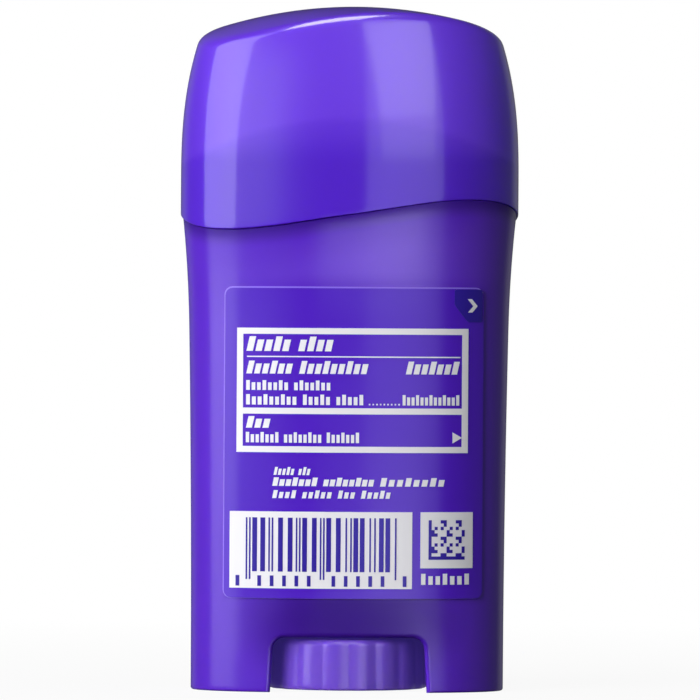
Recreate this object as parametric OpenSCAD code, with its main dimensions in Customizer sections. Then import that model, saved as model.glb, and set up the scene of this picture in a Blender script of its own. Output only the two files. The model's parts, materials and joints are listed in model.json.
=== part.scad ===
// Oval twist-up deodorant stick: overcap, barrel, transit seal, product,
// threaded carrier, thumb knob with lead screw, and a two-ply back label.
// Millimetres, +Z up, label face toward -Y, origin at the middle of the base.
// Every outline is one oval family, and the pack looks the same after half a turn.

/* [Pack] */
// Height from the base to the highest point of the cap
pack_h = 113; // [108:0.5:120]
// Width of the barrel at its base
body_w = 51.7; // [49:0.1:56]
// Depth of the barrel at its base, front to back
body_d = 27; // [26:0.1:31]
// Squareness of the oval, where 2 is an ellipse
oval_n = 2.2; // [2:0.05:2.6]
// How much each side of the barrel widens steadily up to the seam
body_taper = 1; // [0.4:0.05:1.6]
// How much more each side flares out just under the seam
body_flare = 0.75; // [0.3:0.05:1.2]
// Height over which that flare happens
flare_h = 18.5; // [12:0.5:30]
// Height of the cap over the mean seam
cap_h = 34.5; // [31:0.5:39]
// Mean height of the seam between barrel and cap
seam_z = pack_h - cap_h;
// Rise and fall of the seam along each broad face
seam_wave = 2.5; // [0:0.1:4]

/* [Cap] */
// Overhang of the cap beyond the barrel at the seam
cap_proud = 0.35; // [0:0.05:0.8]
// Wall of the cap
cap_wall = 1.3; // [0.9:0.05:1.6]
// Thickness of the cap's crown
cap_crown_t = 1.4; // [1:0.1:2.5]
// How far each side of the cap draws in from seam to crown
cap_draw = 2.9; // [1:0.1:4]
// Radius of the crown along the width
crown_r_wide = 60; // [50:1:90]
// Radius of the crown front to back
crown_r_deep = 37; // [30:1:60]
// Diagonal twist of the crown, as height per square millimetre
crown_twist = 0.0083; // [0:0.0005:0.012]
// Rounding where the crown meets the side
crown_edge_r = 1.4; // [0.5:0.1:2.5]
// Rounding of the cap's lower edge
cap_lip_r = 0.4; // [0.1:0.05:0.6]
// Gap between cap and barrel at the seam
seam_gap = 0.2; // [0.1:0.05:0.4]
// Clearance between the cap and the barrel's neck
cap_fit = 0.3; // [0.2:0.05:0.5]

/* [Barrel] */
// Wall of the barrel at its base
barrel_wall = 1.4; // [1:0.1:1.8]
// Wall of the neck
neck_wall = 1.25; // [0.9:0.05:1.6]
// Height of the neck above the mean seam
neck_h = 9; // [7.5:0.5:11]
// Height of the friction bead on the neck
bead_h = 0.15; // [0:0.05:0.18]
// Underside of the floor that carries the knob
floor_z = 9.3; // [9.2:0.1:12]
// Thickness of that floor
floor_t = 1.4; // [1:0.1:2.5]
// Rounding inside the barrel at the floor
floor_fillet = 0.8; // [0.2:0.1:1.5]
// Rounding of the shoulder under the seam
shoulder_r = 0.7; // [0.2:0.05:0.8]
// Rounding of the base rim
foot_r = 0.4; // [0.1:0.05:0.6]

/* [Thumb window] */
// Clear width of the window at the base
window_w = 25.7; // [22:0.1:28]
// Clear width of the window at its top
window_top_w = 24.7; // [21:0.1:25.5]
// Clear height of the window
window_h = 9; // [8.8:0.1:9.2]
// Corner radius of the window
window_r = 2; // [0.5:0.1:4]
// Rounding of the window's outer edge
lip_r = 0.8; // [0.2:0.1:1]
// Depth of the thumb scoop round the window
scoop_d = 0.6; // [0:0.05:0.8]
// Half width of the scoop
scoop_w = 20.5; // [14:0.5:23]
// Height of the scoop
scoop_h = 16; // [11:0.5:22]

/* [Knob] */
// Diameter of the knob at the bottom
knob_d = 26.4; // [24:0.1:27]
// Diameter of the knob at the top
knob_top_d = 26; // [23:0.1:26.4]
// Height of the knob's rim
knob_h = 8.35; // [7:0.05:8.6]
// Gap from the ground to the knob
knob_foot = 0.35; // [0.1:0.05:0.6]
// Number of thumb scallops
scallops = 18; // [12:1:30]
// Depth of a scallop
scallop_d = 0.28; // [0.1:0.02:0.5]
// Rounding of the knob's upper edge
knob_edge_r = 1.1; // [0.4:0.1:2]
// Wall of the knob
knob_wall = 1.3; // [1:0.1:2]
// Number of ribs under the knob
knob_ribs = 8; // [4:1:12]

/* [Lead screw] */
// Radius of the thread's crest
screw_r = 3.8; // [3.4:0.05:4]
// Radius of the thread's core
core_r = 2.5; // [2.2:0.05:2.8]
// Lead, the rise for one turn of the knob
pitch = 5.5; // [4.5:0.1:6.5]
// How far below the neck's rim the carrier stops at the top of its travel
top_stop = 2.4; // [2:0.1:12]
// Clearance between the screw and the carrier's thread
thread_fit = 0.3; // [0.25:0.01:0.35]
// Clearance of the journal in the floor
journal_fit = 0.3; // [0.2:0.05:0.4]
// How far the snap collar stands over the hole's edge
collar_bite = 0.5; // [0.2:0.05:0.8]

/* [Carrier] */
// Running gap between carrier and barrel
carrier_fit = 0.45; // [0.3:0.05:0.8]
// Thickness of the carrier's plate
plate_t = 1.4; // [1:0.1:2.5]
// Height of the carrier's rim
carrier_h = 7.6; // [5:0.1:10]
// Wall of the carrier's rim
carrier_wall = 1.1; // [0.8:0.1:1.6]
// Outer radius of the threaded hub
hub_r = 6.2; // [5.8:0.1:7]
// Height of the threaded hub
hub_h = 11.5; // [9:0.5:13]
// Thickness of the webs that grip the product
web_t = 1; // [0.8:0.1:1.6]
// Height of the webs over the plate
web_h = 5; // [3:0.5:8]

/* [Product] */
// Gap between the product and the barrel
product_fit = 0.35; // [0.2:0.05:0.6]
// Height of the product's highest point over the neck's rim
product_top = 5.55; // [4:0.05:7]
// Rise of the product's dome from rim to middle
dome_rise = 5.2; // [3:0.1:6]
// Height of the product's rounded shoulder
product_round = 5.85; // [4:0.05:8]

/* [Transit seal] */
// Wall of the seal
seal_t = 0.8; // [0.6:0.05:1]
// Gap between the seal and the product
seal_gap = 0.35; // [0.2:0.05:0.5]
// Clearance of the seal's plug in the neck
seal_fit = 0.3; // [0.2:0.05:0.4]
// Depth of the seal's plug in the neck
plug_h = 3; // [2:0.1:4]
// Height of the pull tab
tab_h = 2.2; // [1:0.1:3]
// Width of the pull tab
tab_w = 12; // [8:0.5:16]

/* [Label] */
// How far the barrel's base stands out beyond each side of the label, on average
label_side = 4.65; // [4:0.05:8]
// Width of the label, seen square on
label_w = body_w - 2 * label_side;
// Lower edge of the label
label_z = 15.4; // [13:0.1:18]
// Drop from the mean seam to the label's upper edge
label_drop = 11.9; // [11:0.1:19]
// Height of the label
label_h = seam_z - label_drop - label_z;
// Sideways place of the label's middle
label_x = 0.6; // [-1:0.1:1]
// Corner radius of the label
label_r = 1.3; // [0.5:0.1:3]
// Thickness of each ply
ply_t = 0.14; // [0.08:0.01:0.2]
// Margin of the lower ply that shows round the upper ply
ply_margin = 0.35; // [0.2:0.05:1]
// Thickness of the printed fields
ink_t = 0.05; // [0.03:0.01:0.1]
// Thickness of the glue line between plies
glue_t = 0.05; // [0.04:0.01:0.08]

/* [Hidden] */

// Facets round the large ovals and round the small ones
seg = 56;
seg_in = 40;
eps = 0.01;

// The oval family: an outline's half depth is its half width less this
inset = (body_w - body_d) / 2;
base_a = body_w / 2;
cap_a = base_a + body_taper + body_flare + cap_proud;
neck_a = cap_a - cap_wall - cap_fit;
neck_z = seam_z + neck_h;
floor_top = floor_z + floor_t;
bore_low = base_a - barrel_wall;
bore_top = neck_a - neck_wall;

// Knob, journal and screw along the axis
knob_top = knob_foot + knob_h;
journal_r = screw_r + 0.2;
hole_r = journal_r + journal_fit;
collar_r = hole_r + collar_bite;
run_gap = 0.2;
seat_h = floor_z - run_gap - knob_top;
collar_z = floor_top + run_gap;
collar_h = 0.5;
collar_cone = 1;
screw_z = collar_z + collar_h + collar_cone;
carrier_z = floor_top + floor_fillet;
plate_z = screw_z + 0.4;
plate_top = plate_z + plate_t;
travel = neck_z - top_stop - carrier_z - carrier_h;
hub_engaged = 7;
screw_top = plate_z + travel + hub_engaged;

// Product and seal
carrier_a = bore_low - carrier_fit;
product_a = bore_low - product_fit;
product_z = neck_z + product_top;
dome_b = product_a - inset;
seal_top = product_z + seal_gap + seal_t;
plug_a = bore_top - seal_fit;
flange_a = neck_a - 0.35;
flange_t = 0.75;
flange_gap = 0.05;

// One point of the oval, and one level ring of it
function bent(v, p) = sign(v) * pow(abs(v), p);
function oval(a, b, t) = [a * bent(cos(t), 2 / oval_n), b * bent(sin(t), 2 / oval_n)];
function ring(a, z, n = seg) = ring_ab(a, a - inset, z, n);
function ring_ab(a, b, z, n = seg) =
    [for (i = [0 : n - 1]) let (p = oval(a, b, 360 * i / n)) [p[0], p[1], z]];

// Side profiles of barrel, bore and cap, as half widths at a height
function body_a(z) =
    base_a + body_taper * pow(max(z, 0) / seam_z, 2)
    + body_flare * pow(max(0, (z - seam_z + flare_h) / flare_h), 2);
function bore_a(z) = bore_low + (bore_top - bore_low) * (z - floor_top) / (neck_z - floor_top);
draw_z = seam_z + 5.5;
draw_h = pack_h - 5.5 - draw_z;
function cap_side(z) = cap_a - cap_draw * pow(max(0, (z - draw_z) / draw_h), 2.6);

// Height of the seam round the pack, and of the twisted crown over a point
function seam_at(t) = seam_z - seam_wave * sin(2 * t);
function crown(x, y) =
    pack_h - pow(x, 2) / (2 * crown_r_wide) - pow(y, 2) / (2 * crown_r_deep)
    - crown_twist * x * y;

// Where the cap's side, thinned by w, meets the crown lowered by d
function edge_z(t, w, d, z, n) =
    let (p = oval(cap_side(z) - w, cap_side(z) - inset - w, t), up = crown(p[0], p[1]) - d)
    n == 0 ? up : edge_z(t, w, d, up, n - 1);
function cap_edge(t, w = 0, d = 0) = edge_z(t, w, d, pack_h - 5, 3);
function cap_wall_pt(t, z, w = 0) =
    let (p = oval(cap_side(z) - w, cap_side(z) - inset - w, t)) [p[0], p[1], z];
function cap_crown_pt(t, f, w = 0, d = 0) =
    let (p = cap_wall_pt(t, cap_edge(t, w, d), w) * f) [p[0], p[1], crown(p[0], p[1]) - d];

function cap_wall_ring(s, w = 0, d = 0, drop = 0) =
    [for (i = [0 : seg - 1]) let (t = 360 * i / seg, low = seam_at(t), high = cap_edge(t, w, d) - drop)
        cap_wall_pt(t, low + (high - low) * s, w)];
function cap_lip_ring(in, up) =
    [for (i = [0 : seg - 1]) let (t = 360 * i / seg) cap_wall_pt(t, seam_at(t) + up, in)];
function cap_crown_ring(f, w = 0, d = 0) =
    [for (i = [0 : seg - 1]) cap_crown_pt(360 * i / seg, f, w, d)];
function arc_pt(a, c, b, u) = a * pow(1 - u, 2) + c * 2 * u * (1 - u) + b * pow(u, 2);
function cap_round_ring(u) =
    [for (i = [0 : seg - 1]) let (t = 360 * i / seg, top = cap_edge(t))
        arc_pt(cap_wall_pt(t, top - crown_edge_r), cap_wall_pt(t, top),
               cap_crown_pt(t, 1 - crown_edge_r / (cap_a - inset)), u)];

// Closes a stack of rings into a solid, with a fan at each end. The diagonals of
// its side faces lean with a right-hand twist when twisted is true.
module loft(rings, first, last, twisted = false) {
    n = len(rings[0]);
    m = len(rings);
    points = concat([for (r = rings) each r], [first, last]);
    fans = [for (j = [0 : n - 1]) let (k = (j + 1) % n)
        each [[m * n, j, k], [m * n + 1, (m - 1) * n + k, (m - 1) * n + j]]];
    sides = [for (i = [0 : m - 2], j = [0 : n - 1])
        let (k = (j + 1) % n, a = i * n + j, b = i * n + k, c = a + n, d = b + n)
        each twisted ? [[a, c, b], [b, c, d]] : [[a, c, d], [a, d, b]]];
    polyhedron(points, concat(fans, sides), convexity = 8);
}

// Thumb scoop in the barrel's face, as a depth at a place on it
function scoop(x, z) =
    let (r2 = pow(x / scoop_w, 2) + pow(z / scoop_h, 2)) r2 < 1 ? scoop_d * pow(1 - r2, 1.5) : 0;
function oval_q(x, a) = pow(max(0, 1 - pow(abs(x / a), oval_n)), 1 / oval_n);
function face_y(x, z) =
    let (a = body_a(z)) (a - inset) * oval_q(x, a) - scoop(x, z);
function body_pt(t, z, in = 0) =
    let (a = body_a(z) - in, p = oval(a, a - inset, t), cut = scoop(p[0], z) * abs(sin(t)))
    [p[0], p[1] - sign(p[1]) * cut, z];
function body_ring(z, in = 0) = [for (i = [0 : seg - 1]) body_pt(360 * i / seg, z, in)];

// The barrel's upper rings run from level to the waved seam
level_drop = 12;
level_z = seam_z - level_drop;
bead_drop = 4;
function edge_at(t) = seam_at(t) - seam_gap;
function body_top_ring(s, down, in) =
    [for (i = [0 : seg - 1]) let (t = 360 * i / seg)
        body_pt(t, level_z + (edge_at(t) - down - level_z) * s, in)];
function neck_foot_ring() =
    [for (i = [0 : seg - 1]) let (t = 360 * i / seg, p = oval(neck_a, neck_a - inset, t))
        [p[0], p[1], edge_at(t)]];

module barrel_shell() {
    cavity_z = floor_z - floor_fillet;
    bead_z = neck_z - bead_drop;
    loft([
        ring(bore_low - floor_fillet, floor_z),
        ring(bore_low - floor_fillet * 0.3, floor_z - floor_fillet * 0.3),
        ring(bore_low, cavity_z),
        ring(bore_low, 0),
        body_ring(0, foot_r),
        body_ring(foot_r * 0.3, foot_r * 0.3),
        body_ring(foot_r),
        for (z = [0.2 : 0.2 : 1]) body_ring(foot_r + (scoop_h + 1 - foot_r) * z),
        for (s = [0.2 : 0.2 : 1]) body_ring(scoop_h + 1 + (level_z - scoop_h - 1) * s),
        for (s = [0.35, 0.7]) body_top_ring(s, shoulder_r, 0),
        body_top_ring(1, shoulder_r, 0),
        body_top_ring(1, shoulder_r * 0.3, shoulder_r * 0.3),
        body_top_ring(1, 0, shoulder_r),
        neck_foot_ring(),
        ring(neck_a, bead_z - 0.8),
        ring(neck_a + bead_h, bead_z - 0.25),
        ring(neck_a + bead_h, bead_z + 0.25),
        ring(neck_a, bead_z + 0.8),
        ring(neck_a, neck_z - 0.3),
        ring(neck_a - 0.3, neck_z),
        ring(bore_top + 0.2, neck_z),
        ring(bore_a(neck_z - 0.3), neck_z - 0.3),
        ring(bore_a(floor_top + floor_fillet), floor_top + floor_fillet),
        ring(bore_low - floor_fillet * 0.7, floor_top + floor_fillet * 0.3),
        ring(bore_low - floor_fillet, floor_top)
    ], [0, 0, floor_z], [0, 0, floor_top]);
}

// The window's outline, grown by a margin, from its left foot over to its right
function window_pts(grow) =
    let (slant = atan2((window_w - window_top_w) / 2, window_h), steps = 5,
         cx = window_top_w / 2 - window_r * tan(45 - slant / 2), cz = window_h - window_r,
         arc = [for (i = [0 : steps]) let (t = slant + (90 - slant) * i / steps, r = window_r + grow)
             [cx + r * cos(t), cz + r * sin(t)]],
         foot = window_w / 2 + grow + tan(slant))
    concat([[-foot, -1]], [for (p = arc) [-p[0], p[1]]],
           [for (i = [steps : -1 : 0]) arc[i]], [[foot, -1]]);

// Cuts the window through one face, with an outer edge that follows the face
module window_cutter() {
    function at_depth(grow, d) = [for (p = window_pts(grow)) [p[0], d - face_y(p[0], p[1]), p[1]]];
    function flat_at(grow, y) = [for (p = window_pts(grow)) [p[0], y, p[1]]];
    outside = -body_d / 2 - 1;
    inside = -body_d / 4;
    loft([
        flat_at(lip_r, outside),
        for (u = [0, 30, 60, 90]) at_depth(lip_r * (1 - sin(u)), lip_r * (1 - cos(u))),
        flat_at(0, inside)
    ], [0, outside, window_h / 2], [0, inside, window_h / 2]);
}

module barrel() color("#7a55d8") {
    difference() {
        barrel_shell();
        for (turn = [0, 180]) rotate([0, 0, turn]) window_cutter();
        translate([0, 0, floor_z - 1]) cylinder(h = floor_t + 2, r = hole_r, $fn = 48);
    }
}

module cap() color("#6a3ce0") {
    ceiling = crown(0, 0) - cap_crown_t;
    loft([
        for (f = [0.35, 0.65, 0.85, 1]) cap_crown_ring(f, cap_wall, cap_crown_t),
        for (s = [0.85, 0.65, 0.45, 0.25]) cap_wall_ring(s, cap_wall, cap_crown_t),
        cap_lip_ring(cap_wall, 0.2),
        cap_lip_ring(cap_wall - 0.2, 0),
        cap_lip_ring(cap_lip_r, 0),
        cap_lip_ring(cap_lip_r * 0.3, cap_lip_r * 0.3),
        cap_lip_ring(0, cap_lip_r),
        for (s = [0.2, 0.36, 0.5, 0.62, 0.74, 0.86, 1]) cap_wall_ring(s, 0, 0, crown_edge_r),
        for (u = [0.33, 0.67, 1]) cap_round_ring(u),
        for (f = [0.7, 0.45, 0.2]) cap_crown_ring(f)
    ], [0, 0, ceiling], [0, 0, pack_h]);
}

// Domed transit seal with a plug that fits the neck, and its pull tab
function dome_z(f) = dome_rise * pow(f, 2);
module inner_seal() color("#e8e6ef") {
    under = product_z + seal_gap;
    plug_in = plug_a - seal_t;
    rim_z = neck_z + flange_gap;
    union() {
        loft([
            for (f = [0.3, 0.6, 0.8])
                ring_ab(product_a * f, dome_b * f, under - dome_z(f), seg_in),
            ring(plug_in - 0.4, under - dome_z(1), seg_in),
            ring(plug_in, under - dome_z(1) - 0.7, seg_in),
            ring(plug_in, neck_z - plug_h, seg_in),
            ring(plug_a - 0.3, neck_z - plug_h, seg_in),
            ring(plug_a, neck_z - plug_h + 0.6, seg_in),
            ring(plug_a, rim_z, seg_in),
            ring(flange_a, rim_z, seg_in),
            ring(flange_a, rim_z + flange_t, seg_in),
            ring(plug_a, rim_z + flange_t + 0.1, seg_in),
            for (f = [0.97, 0.85, 0.65, 0.4])
                ring_ab(product_a * f, dome_b * f, seal_top - dome_z(f), seg_in)
        ], [0, 0, under], [0, 0, seal_top]);
        translate([-tab_w / 2, -seal_t / 2, seal_top - 0.75])
            cube([tab_w, seal_t, tab_h + 0.75]);
    }
}

// The thread's cross section: a core, and a crest that winds round it with height.
// Grown, it cuts the carrier's thread, with finer facets that stay clear of the screw.
core_turn = 170;
crest_start = 220;
crest_turn = 90;
function thread_ring(z, grow) =
    let (w = 20 * grow, core = core_turn - 2 * w, crest = crest_turn + 2 * w,
         crest_cuts = grow > 0 ? 4 : 2,
         section = concat(
             [for (i = [0 : 3]) [w + core * i / 3, core_r + grow]],
             [for (i = [0 : crest_cuts])
                 [crest_start - w + crest * i / crest_cuts, screw_r + grow]]))
    [for (p = section) let (t = p[0] + 360 * z / pitch) [p[1] * cos(t), p[1] * sin(t), z]];
module thread(z, h, grow = 0) {
    steps = ceil(12 * h / pitch);
    loft([for (i = [0 : steps]) thread_ring(z + h * i / steps, grow)],
         [0, 0, z], [0, 0, z + h], twisted = true);
}

// Webs and hub that the product is cast round, grown by a gap
web_at = [-16, -9.5, 9.5, 16];
module carrier_core(gap) {
    long = 2 * (carrier_a - carrier_wall) - 1;
    translate([-long / 2 - gap, -web_t / 2 - gap, plate_top - eps])
        cube([long + 2 * gap, web_t + 2 * gap, web_h + gap + eps]);
    for (x = web_at)
        let (deep = 2 * (carrier_a - inset - carrier_wall) * sqrt(1 - pow(x / carrier_a, 2)) - 1)
        translate([x - web_t / 2 - gap, -deep / 2 - gap, plate_top - eps])
            cube([web_t + 2 * gap, deep + 2 * gap, web_h * 0.7 + gap + eps]);
    translate([0, 0, plate_top - eps])
        cylinder(h = hub_h - plate_t + gap + eps, r = hub_r + gap, $fn = 48);
}

module elevator() color("#f2f0f6") {
    rim_top = carrier_z + carrier_h;
    difference() {
        union() {
            loft([
                ring(carrier_a - carrier_wall, plate_z, seg_in),
                ring(carrier_a - carrier_wall, carrier_z, seg_in),
                ring(carrier_a - 0.3, carrier_z, seg_in),
                ring(carrier_a - 0.15, carrier_z + 0.6, seg_in),
                ring(carrier_a, rim_top - 0.5, seg_in),
                ring(carrier_a - 0.1, rim_top, seg_in),
                ring(carrier_a - carrier_wall * 0.6, rim_top, seg_in),
                ring(carrier_a - carrier_wall, plate_top, seg_in)
            ], [0, 0, plate_z], [0, 0, plate_top]);
            carrier_core(0);
        }
        thread(plate_z - pitch / 4, hub_h + pitch / 2, thread_fit);
    }
}

module product_stick() color("#f7f6f4") {
    low = plate_top + 0.1;
    side_z = product_z - dome_rise - product_round;
    rim_top = carrier_z + carrier_h;
    in_a = carrier_a - carrier_wall - 0.15;
    difference() {
        loft([
            ring(in_a, low, seg_in),
            ring(in_a, rim_top + 0.15, seg_in),
            ring(product_a, rim_top + 0.15, seg_in),
            ring(product_a, side_z, seg_in),
            for (f = [0.985, 0.95, 0.88, 0.75, 0.55, 0.3])
                ring_ab(product_a * f, dome_b * f,
                        product_z - dome_z(f) - product_round * pow(f, 10), seg_in)
        ], [0, 0, low], [0, 0, product_z]);
        carrier_core(0.12);
        translate([0, 0, plate_z])
            cylinder(h = screw_top + 0.6 - plate_z, r = screw_r + 0.5, $fn = 40);
    }
}

// Scalloped thumb wheel, hollow underneath, with its ribs
function knob_r(z) = (knob_d + (knob_top_d - knob_d) * (z - knob_foot) / knob_h) / 2;
function knob_ring(z, in = 0) =
    [for (i = [0 : 4 * scallops - 1]) let (t = 360 * i / (4 * scallops))
        let (r = knob_r(z) - in - scallop_d * (1 - abs(cos(scallops * t / 2)))) [r * cos(t), r * sin(t), z]];
module knob_screw() color("#7f5cdc") {
    plate_z0 = knob_top - knob_wall - 0.2;
    union() {
        difference() {
            loft([
                knob_ring(knob_foot, 0.5),
                knob_ring(knob_foot + 0.5),
                knob_ring(knob_top - knob_edge_r),
                knob_ring(knob_top - knob_edge_r * 0.3, knob_edge_r * 0.3),
                knob_ring(knob_top, knob_edge_r)
            ], [0, 0, knob_foot], [0, 0, knob_top]);
            translate([0, 0, knob_foot - 1])
                cylinder(h = plate_z0 - knob_foot + 1,
                         r1 = knob_r(knob_foot) - knob_wall - scallop_d,
                         r2 = knob_r(plate_z0) - knob_wall - scallop_d, $fn = 72);
        }
        difference() {
            union() {
                for (i = [0 : knob_ribs - 1])
                    rotate([0, 0, 360 * i / knob_ribs])
                        translate([0, -0.45, knob_foot + 1.5])
                            cube([knob_r(plate_z0) - knob_wall, 0.9, plate_z0 - knob_foot - 1.4]);
                translate([0, 0, knob_foot + 0.6])
                    cylinder(h = collar_z - knob_foot - 0.6, r = journal_r, $fn = 48);
                translate([0, 0, knob_top - 0.1])
                    cylinder(h = seat_h + 0.1, r = journal_r + 1.6, $fn = 48);
                translate([0, 0, collar_z]) cylinder(h = collar_h, r = collar_r, $fn = 48);
                translate([0, 0, collar_z + collar_h])
                    cylinder(h = collar_cone, r1 = collar_r, r2 = screw_r - 0.2, $fn = 48);
            }
            translate([0, 0, knob_foot]) cylinder(h = floor_top - knob_foot, r = core_r, $fn = 36);
        }
        thread(screw_z - 0.5, screw_top - screw_z + 0.5);
    }
}

// A point over the label face, lifted straight off it
function face(x, z, lift) =
    let (a = body_a(z), b = a - inset, q = oval_q(x, a),
         nx = sign(x) * pow(abs(x / a), oval_n - 1) / a, ny = pow(q, oval_n - 1) / b,
         s = lift / norm([nx, ny]))
    [x + nx * s, -face_y(x, z) - ny * s, z];

// A thin sheet wrapped on the label face. All the sheets share the barrel's edges and
// the same level creases, so that they nest without cutting into each other.
flare_z = seam_z - flare_h;
creases = [for (k = [1 : 3]) label_z + (flare_z + 1 - label_z) * k / 3];
module wrapped(x0, x1, z0, z1, lift, t, r = 0) {
    // A column is a fixed x, or a share of the half width where the barrel has an edge
    function col_x(c, z) = c[0] + c[1] * body_a(z);
    turn = r > 0 ? [for (k = [0 : 3]) r * (1 - cos(30 * k))] : [0];
    first = x0 + turn[len(turn) - 1];
    last = x1 - turn[len(turn) - 1];
    margin = 0.15;
    edges = [for (k = [seg / 2 + 1 : seg - 1]) bent(cos(360 * k / seg), 2 / oval_n)];
    xs = concat(
        [for (d = turn) [x0 + d, 0]],
        [for (e = edges) if (e * body_a(z0) > first + margin && e * body_a(z1) > first + margin
            && e * body_a(z0) < last - margin && e * body_a(z1) < last - margin) [0, e]],
        [for (k = [len(turn) - 1 : -1 : 0]) [x1 - turn[k], 0]]
    );
    levels = [for (z = creases) if (z > z0 + r + margin && z < z1 - r - margin) z];
    rows = len(levels) + 1;
    cols = len(xs) - 1;
    function nip(x) = let (d = min(x - x0, x1 - x)) d < r ? r - sqrt(r * r - pow(r - d, 2)) : 0;
    function at(i, j, h) =
        let (n = nip(col_x(xs[i], z0)),
             z = j == 0 ? z0 + n : j == rows ? z1 - n : levels[j - 1])
        face(col_x(xs[i], z), z, h);
    points = concat(
        [for (i = [0 : cols], j = [0 : rows]) at(i, j, lift + t)],
        [for (i = [0 : cols], j = [0 : rows]) at(i, j, lift)]
    );
    in = (cols + 1) * (rows + 1);
    function id(i, j) = i * (rows + 1) + j;
    function quad(a, b, c, d) = [[a, b, c], [a, c, d]];
    polyhedron(points, concat(
        [for (i = [0 : cols - 1], j = [0 : rows - 1])
            each quad(id(i, j), id(i, j + 1), id(i + 1, j + 1), id(i + 1, j))],
        [for (i = [0 : cols - 1], j = [0 : rows - 1])
            each quad(in + id(i, j), in + id(i + 1, j), in + id(i + 1, j + 1), in + id(i, j + 1))],
        [for (i = [0 : cols - 1]) each concat(
            quad(id(i, 0), id(i + 1, 0), in + id(i + 1, 0), in + id(i, 0)),
            quad(id(i, rows), in + id(i, rows), in + id(i + 1, rows), id(i + 1, rows)))],
        [for (j = [0 : rows - 1]) each concat(
            quad(id(0, j), in + id(0, j), in + id(0, j + 1), id(0, j + 1)),
            quad(id(cols, j), id(cols, j + 1), in + id(cols, j + 1), in + id(cols, j)))]
    ), convexity = 4);
}

label_left = label_x - label_w / 2;
label_right = label_x + label_w / 2;
label_top = label_z + label_h;
leaf_lift = 2 * glue_t + ply_t;
ink_lift = leaf_lift + ply_t + 0.03;

module label_base() color("#6b45cf")
    wrapped(label_left, label_right, label_z, label_top, glue_t, ply_t, label_r);

module label_leaf() color("#5f35c8")
    wrapped(label_left + ply_margin, label_right - ply_margin, label_z + ply_margin,
            label_top - ply_margin, leaf_lift, ply_t, label_r - ply_margin);

// The corner where the upper ply is peeled
peel_w = 4.55;
peel_h = 5.35;

// White fields: a ruled frame that starts under the peel corner, and two code panels
// below. Their heights are counted in lines that share out the rest of the label.
peel_clear = 1.1;
print_lines = 27.75;
frame_lines = 12.75;
upper_lines = 8.1875;
panel_lines = 18.8125;
code_lines = 5.75;
bars_lines = 7.875;
frame_drop = ply_margin + peel_h + peel_clear;
print_line = (label_h - frame_drop) / print_lines;
frame_left = 2.2;
frame_right = 2.6;
frame_h = frame_lines * print_line;
frame_upper = upper_lines * print_line;
rule_w = 1;
hair = 0.03;
panel_left = 1.2;
panel_right = 1.7;
panel_drop = frame_drop + panel_lines * print_line;
code_gap = 1.35;
code_w = 8.55;
code_h = code_lines * print_line;
bars_w = label_w - panel_left - code_gap - code_w - panel_right;
bars_h = bars_lines * print_line;
module label_print_white() color("white") {
    x0 = label_left + frame_left;
    x1 = label_right - frame_right;
    z1 = label_top - frame_drop;
    z0 = z1 - frame_h;
    zm = z1 - frame_upper;
    for (z = [z0, zm - rule_w, z1 - rule_w]) wrapped(x0, x1, z, z + rule_w, ink_lift, ink_t);
    for (x = [x0, x1 - rule_w]) {
        wrapped(x, x + rule_w, z0 + rule_w + hair, zm - rule_w - hair, ink_lift, ink_t);
        wrapped(x, x + rule_w, zm + hair, z1 - rule_w - hair, ink_lift, ink_t);
    }
    bars_x = label_left + panel_left;
    code_x = bars_x + bars_w + code_gap;
    panel_z = label_top - panel_drop;
    wrapped(bars_x, bars_x + bars_w, panel_z - bars_h, panel_z, ink_lift, ink_t);
    wrapped(code_x, code_x + code_w, panel_z - code_h, panel_z, ink_lift, ink_t);
}

// Dark field on the peel corner
module label_print_corner() color("#241070")
    wrapped(label_right - ply_margin - peel_w, label_right - ply_margin,
            label_top - ply_margin - peel_h, label_top - ply_margin,
            ink_lift, ink_t, label_r - ply_margin);

barrel();
cap();
inner_seal();
product_stick();
elevator();
knob_screw();
label_base();
label_leaf();
label_print_white();
label_print_corner();
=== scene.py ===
# %% [markdown]
# # Dressing a twist-up stick pack
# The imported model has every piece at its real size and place, built from flat facets. This
# lesson gives each piece the smooth skin and the finish of the real pack, lights it like a
# small studio shot, and sets the camera where the photograph was taken from. The first
# cell loads the pieces and notes their box, because the dressed pack stays inside it.

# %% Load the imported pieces
import json
import math

import bmesh
import bpy
from mathutils import Matrix, Vector

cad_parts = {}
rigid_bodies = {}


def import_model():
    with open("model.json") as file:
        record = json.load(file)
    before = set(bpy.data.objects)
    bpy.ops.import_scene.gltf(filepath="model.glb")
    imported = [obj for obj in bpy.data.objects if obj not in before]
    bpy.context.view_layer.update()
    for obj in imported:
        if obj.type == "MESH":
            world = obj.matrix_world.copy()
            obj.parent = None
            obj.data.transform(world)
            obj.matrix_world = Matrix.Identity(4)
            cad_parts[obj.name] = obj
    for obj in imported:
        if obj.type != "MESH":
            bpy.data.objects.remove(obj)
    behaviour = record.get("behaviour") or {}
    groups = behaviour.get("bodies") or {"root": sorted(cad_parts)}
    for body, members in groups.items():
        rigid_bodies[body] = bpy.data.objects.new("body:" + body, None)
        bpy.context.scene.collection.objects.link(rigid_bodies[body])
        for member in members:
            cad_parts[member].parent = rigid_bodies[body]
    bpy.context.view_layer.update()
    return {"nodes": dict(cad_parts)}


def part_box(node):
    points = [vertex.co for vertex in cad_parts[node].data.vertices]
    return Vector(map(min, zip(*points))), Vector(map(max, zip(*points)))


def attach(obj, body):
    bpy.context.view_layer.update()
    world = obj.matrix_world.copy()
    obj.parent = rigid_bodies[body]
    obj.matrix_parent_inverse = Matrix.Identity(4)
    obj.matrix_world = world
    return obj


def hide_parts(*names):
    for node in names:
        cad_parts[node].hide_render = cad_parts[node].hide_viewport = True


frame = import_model()
MM = 0.001

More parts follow.
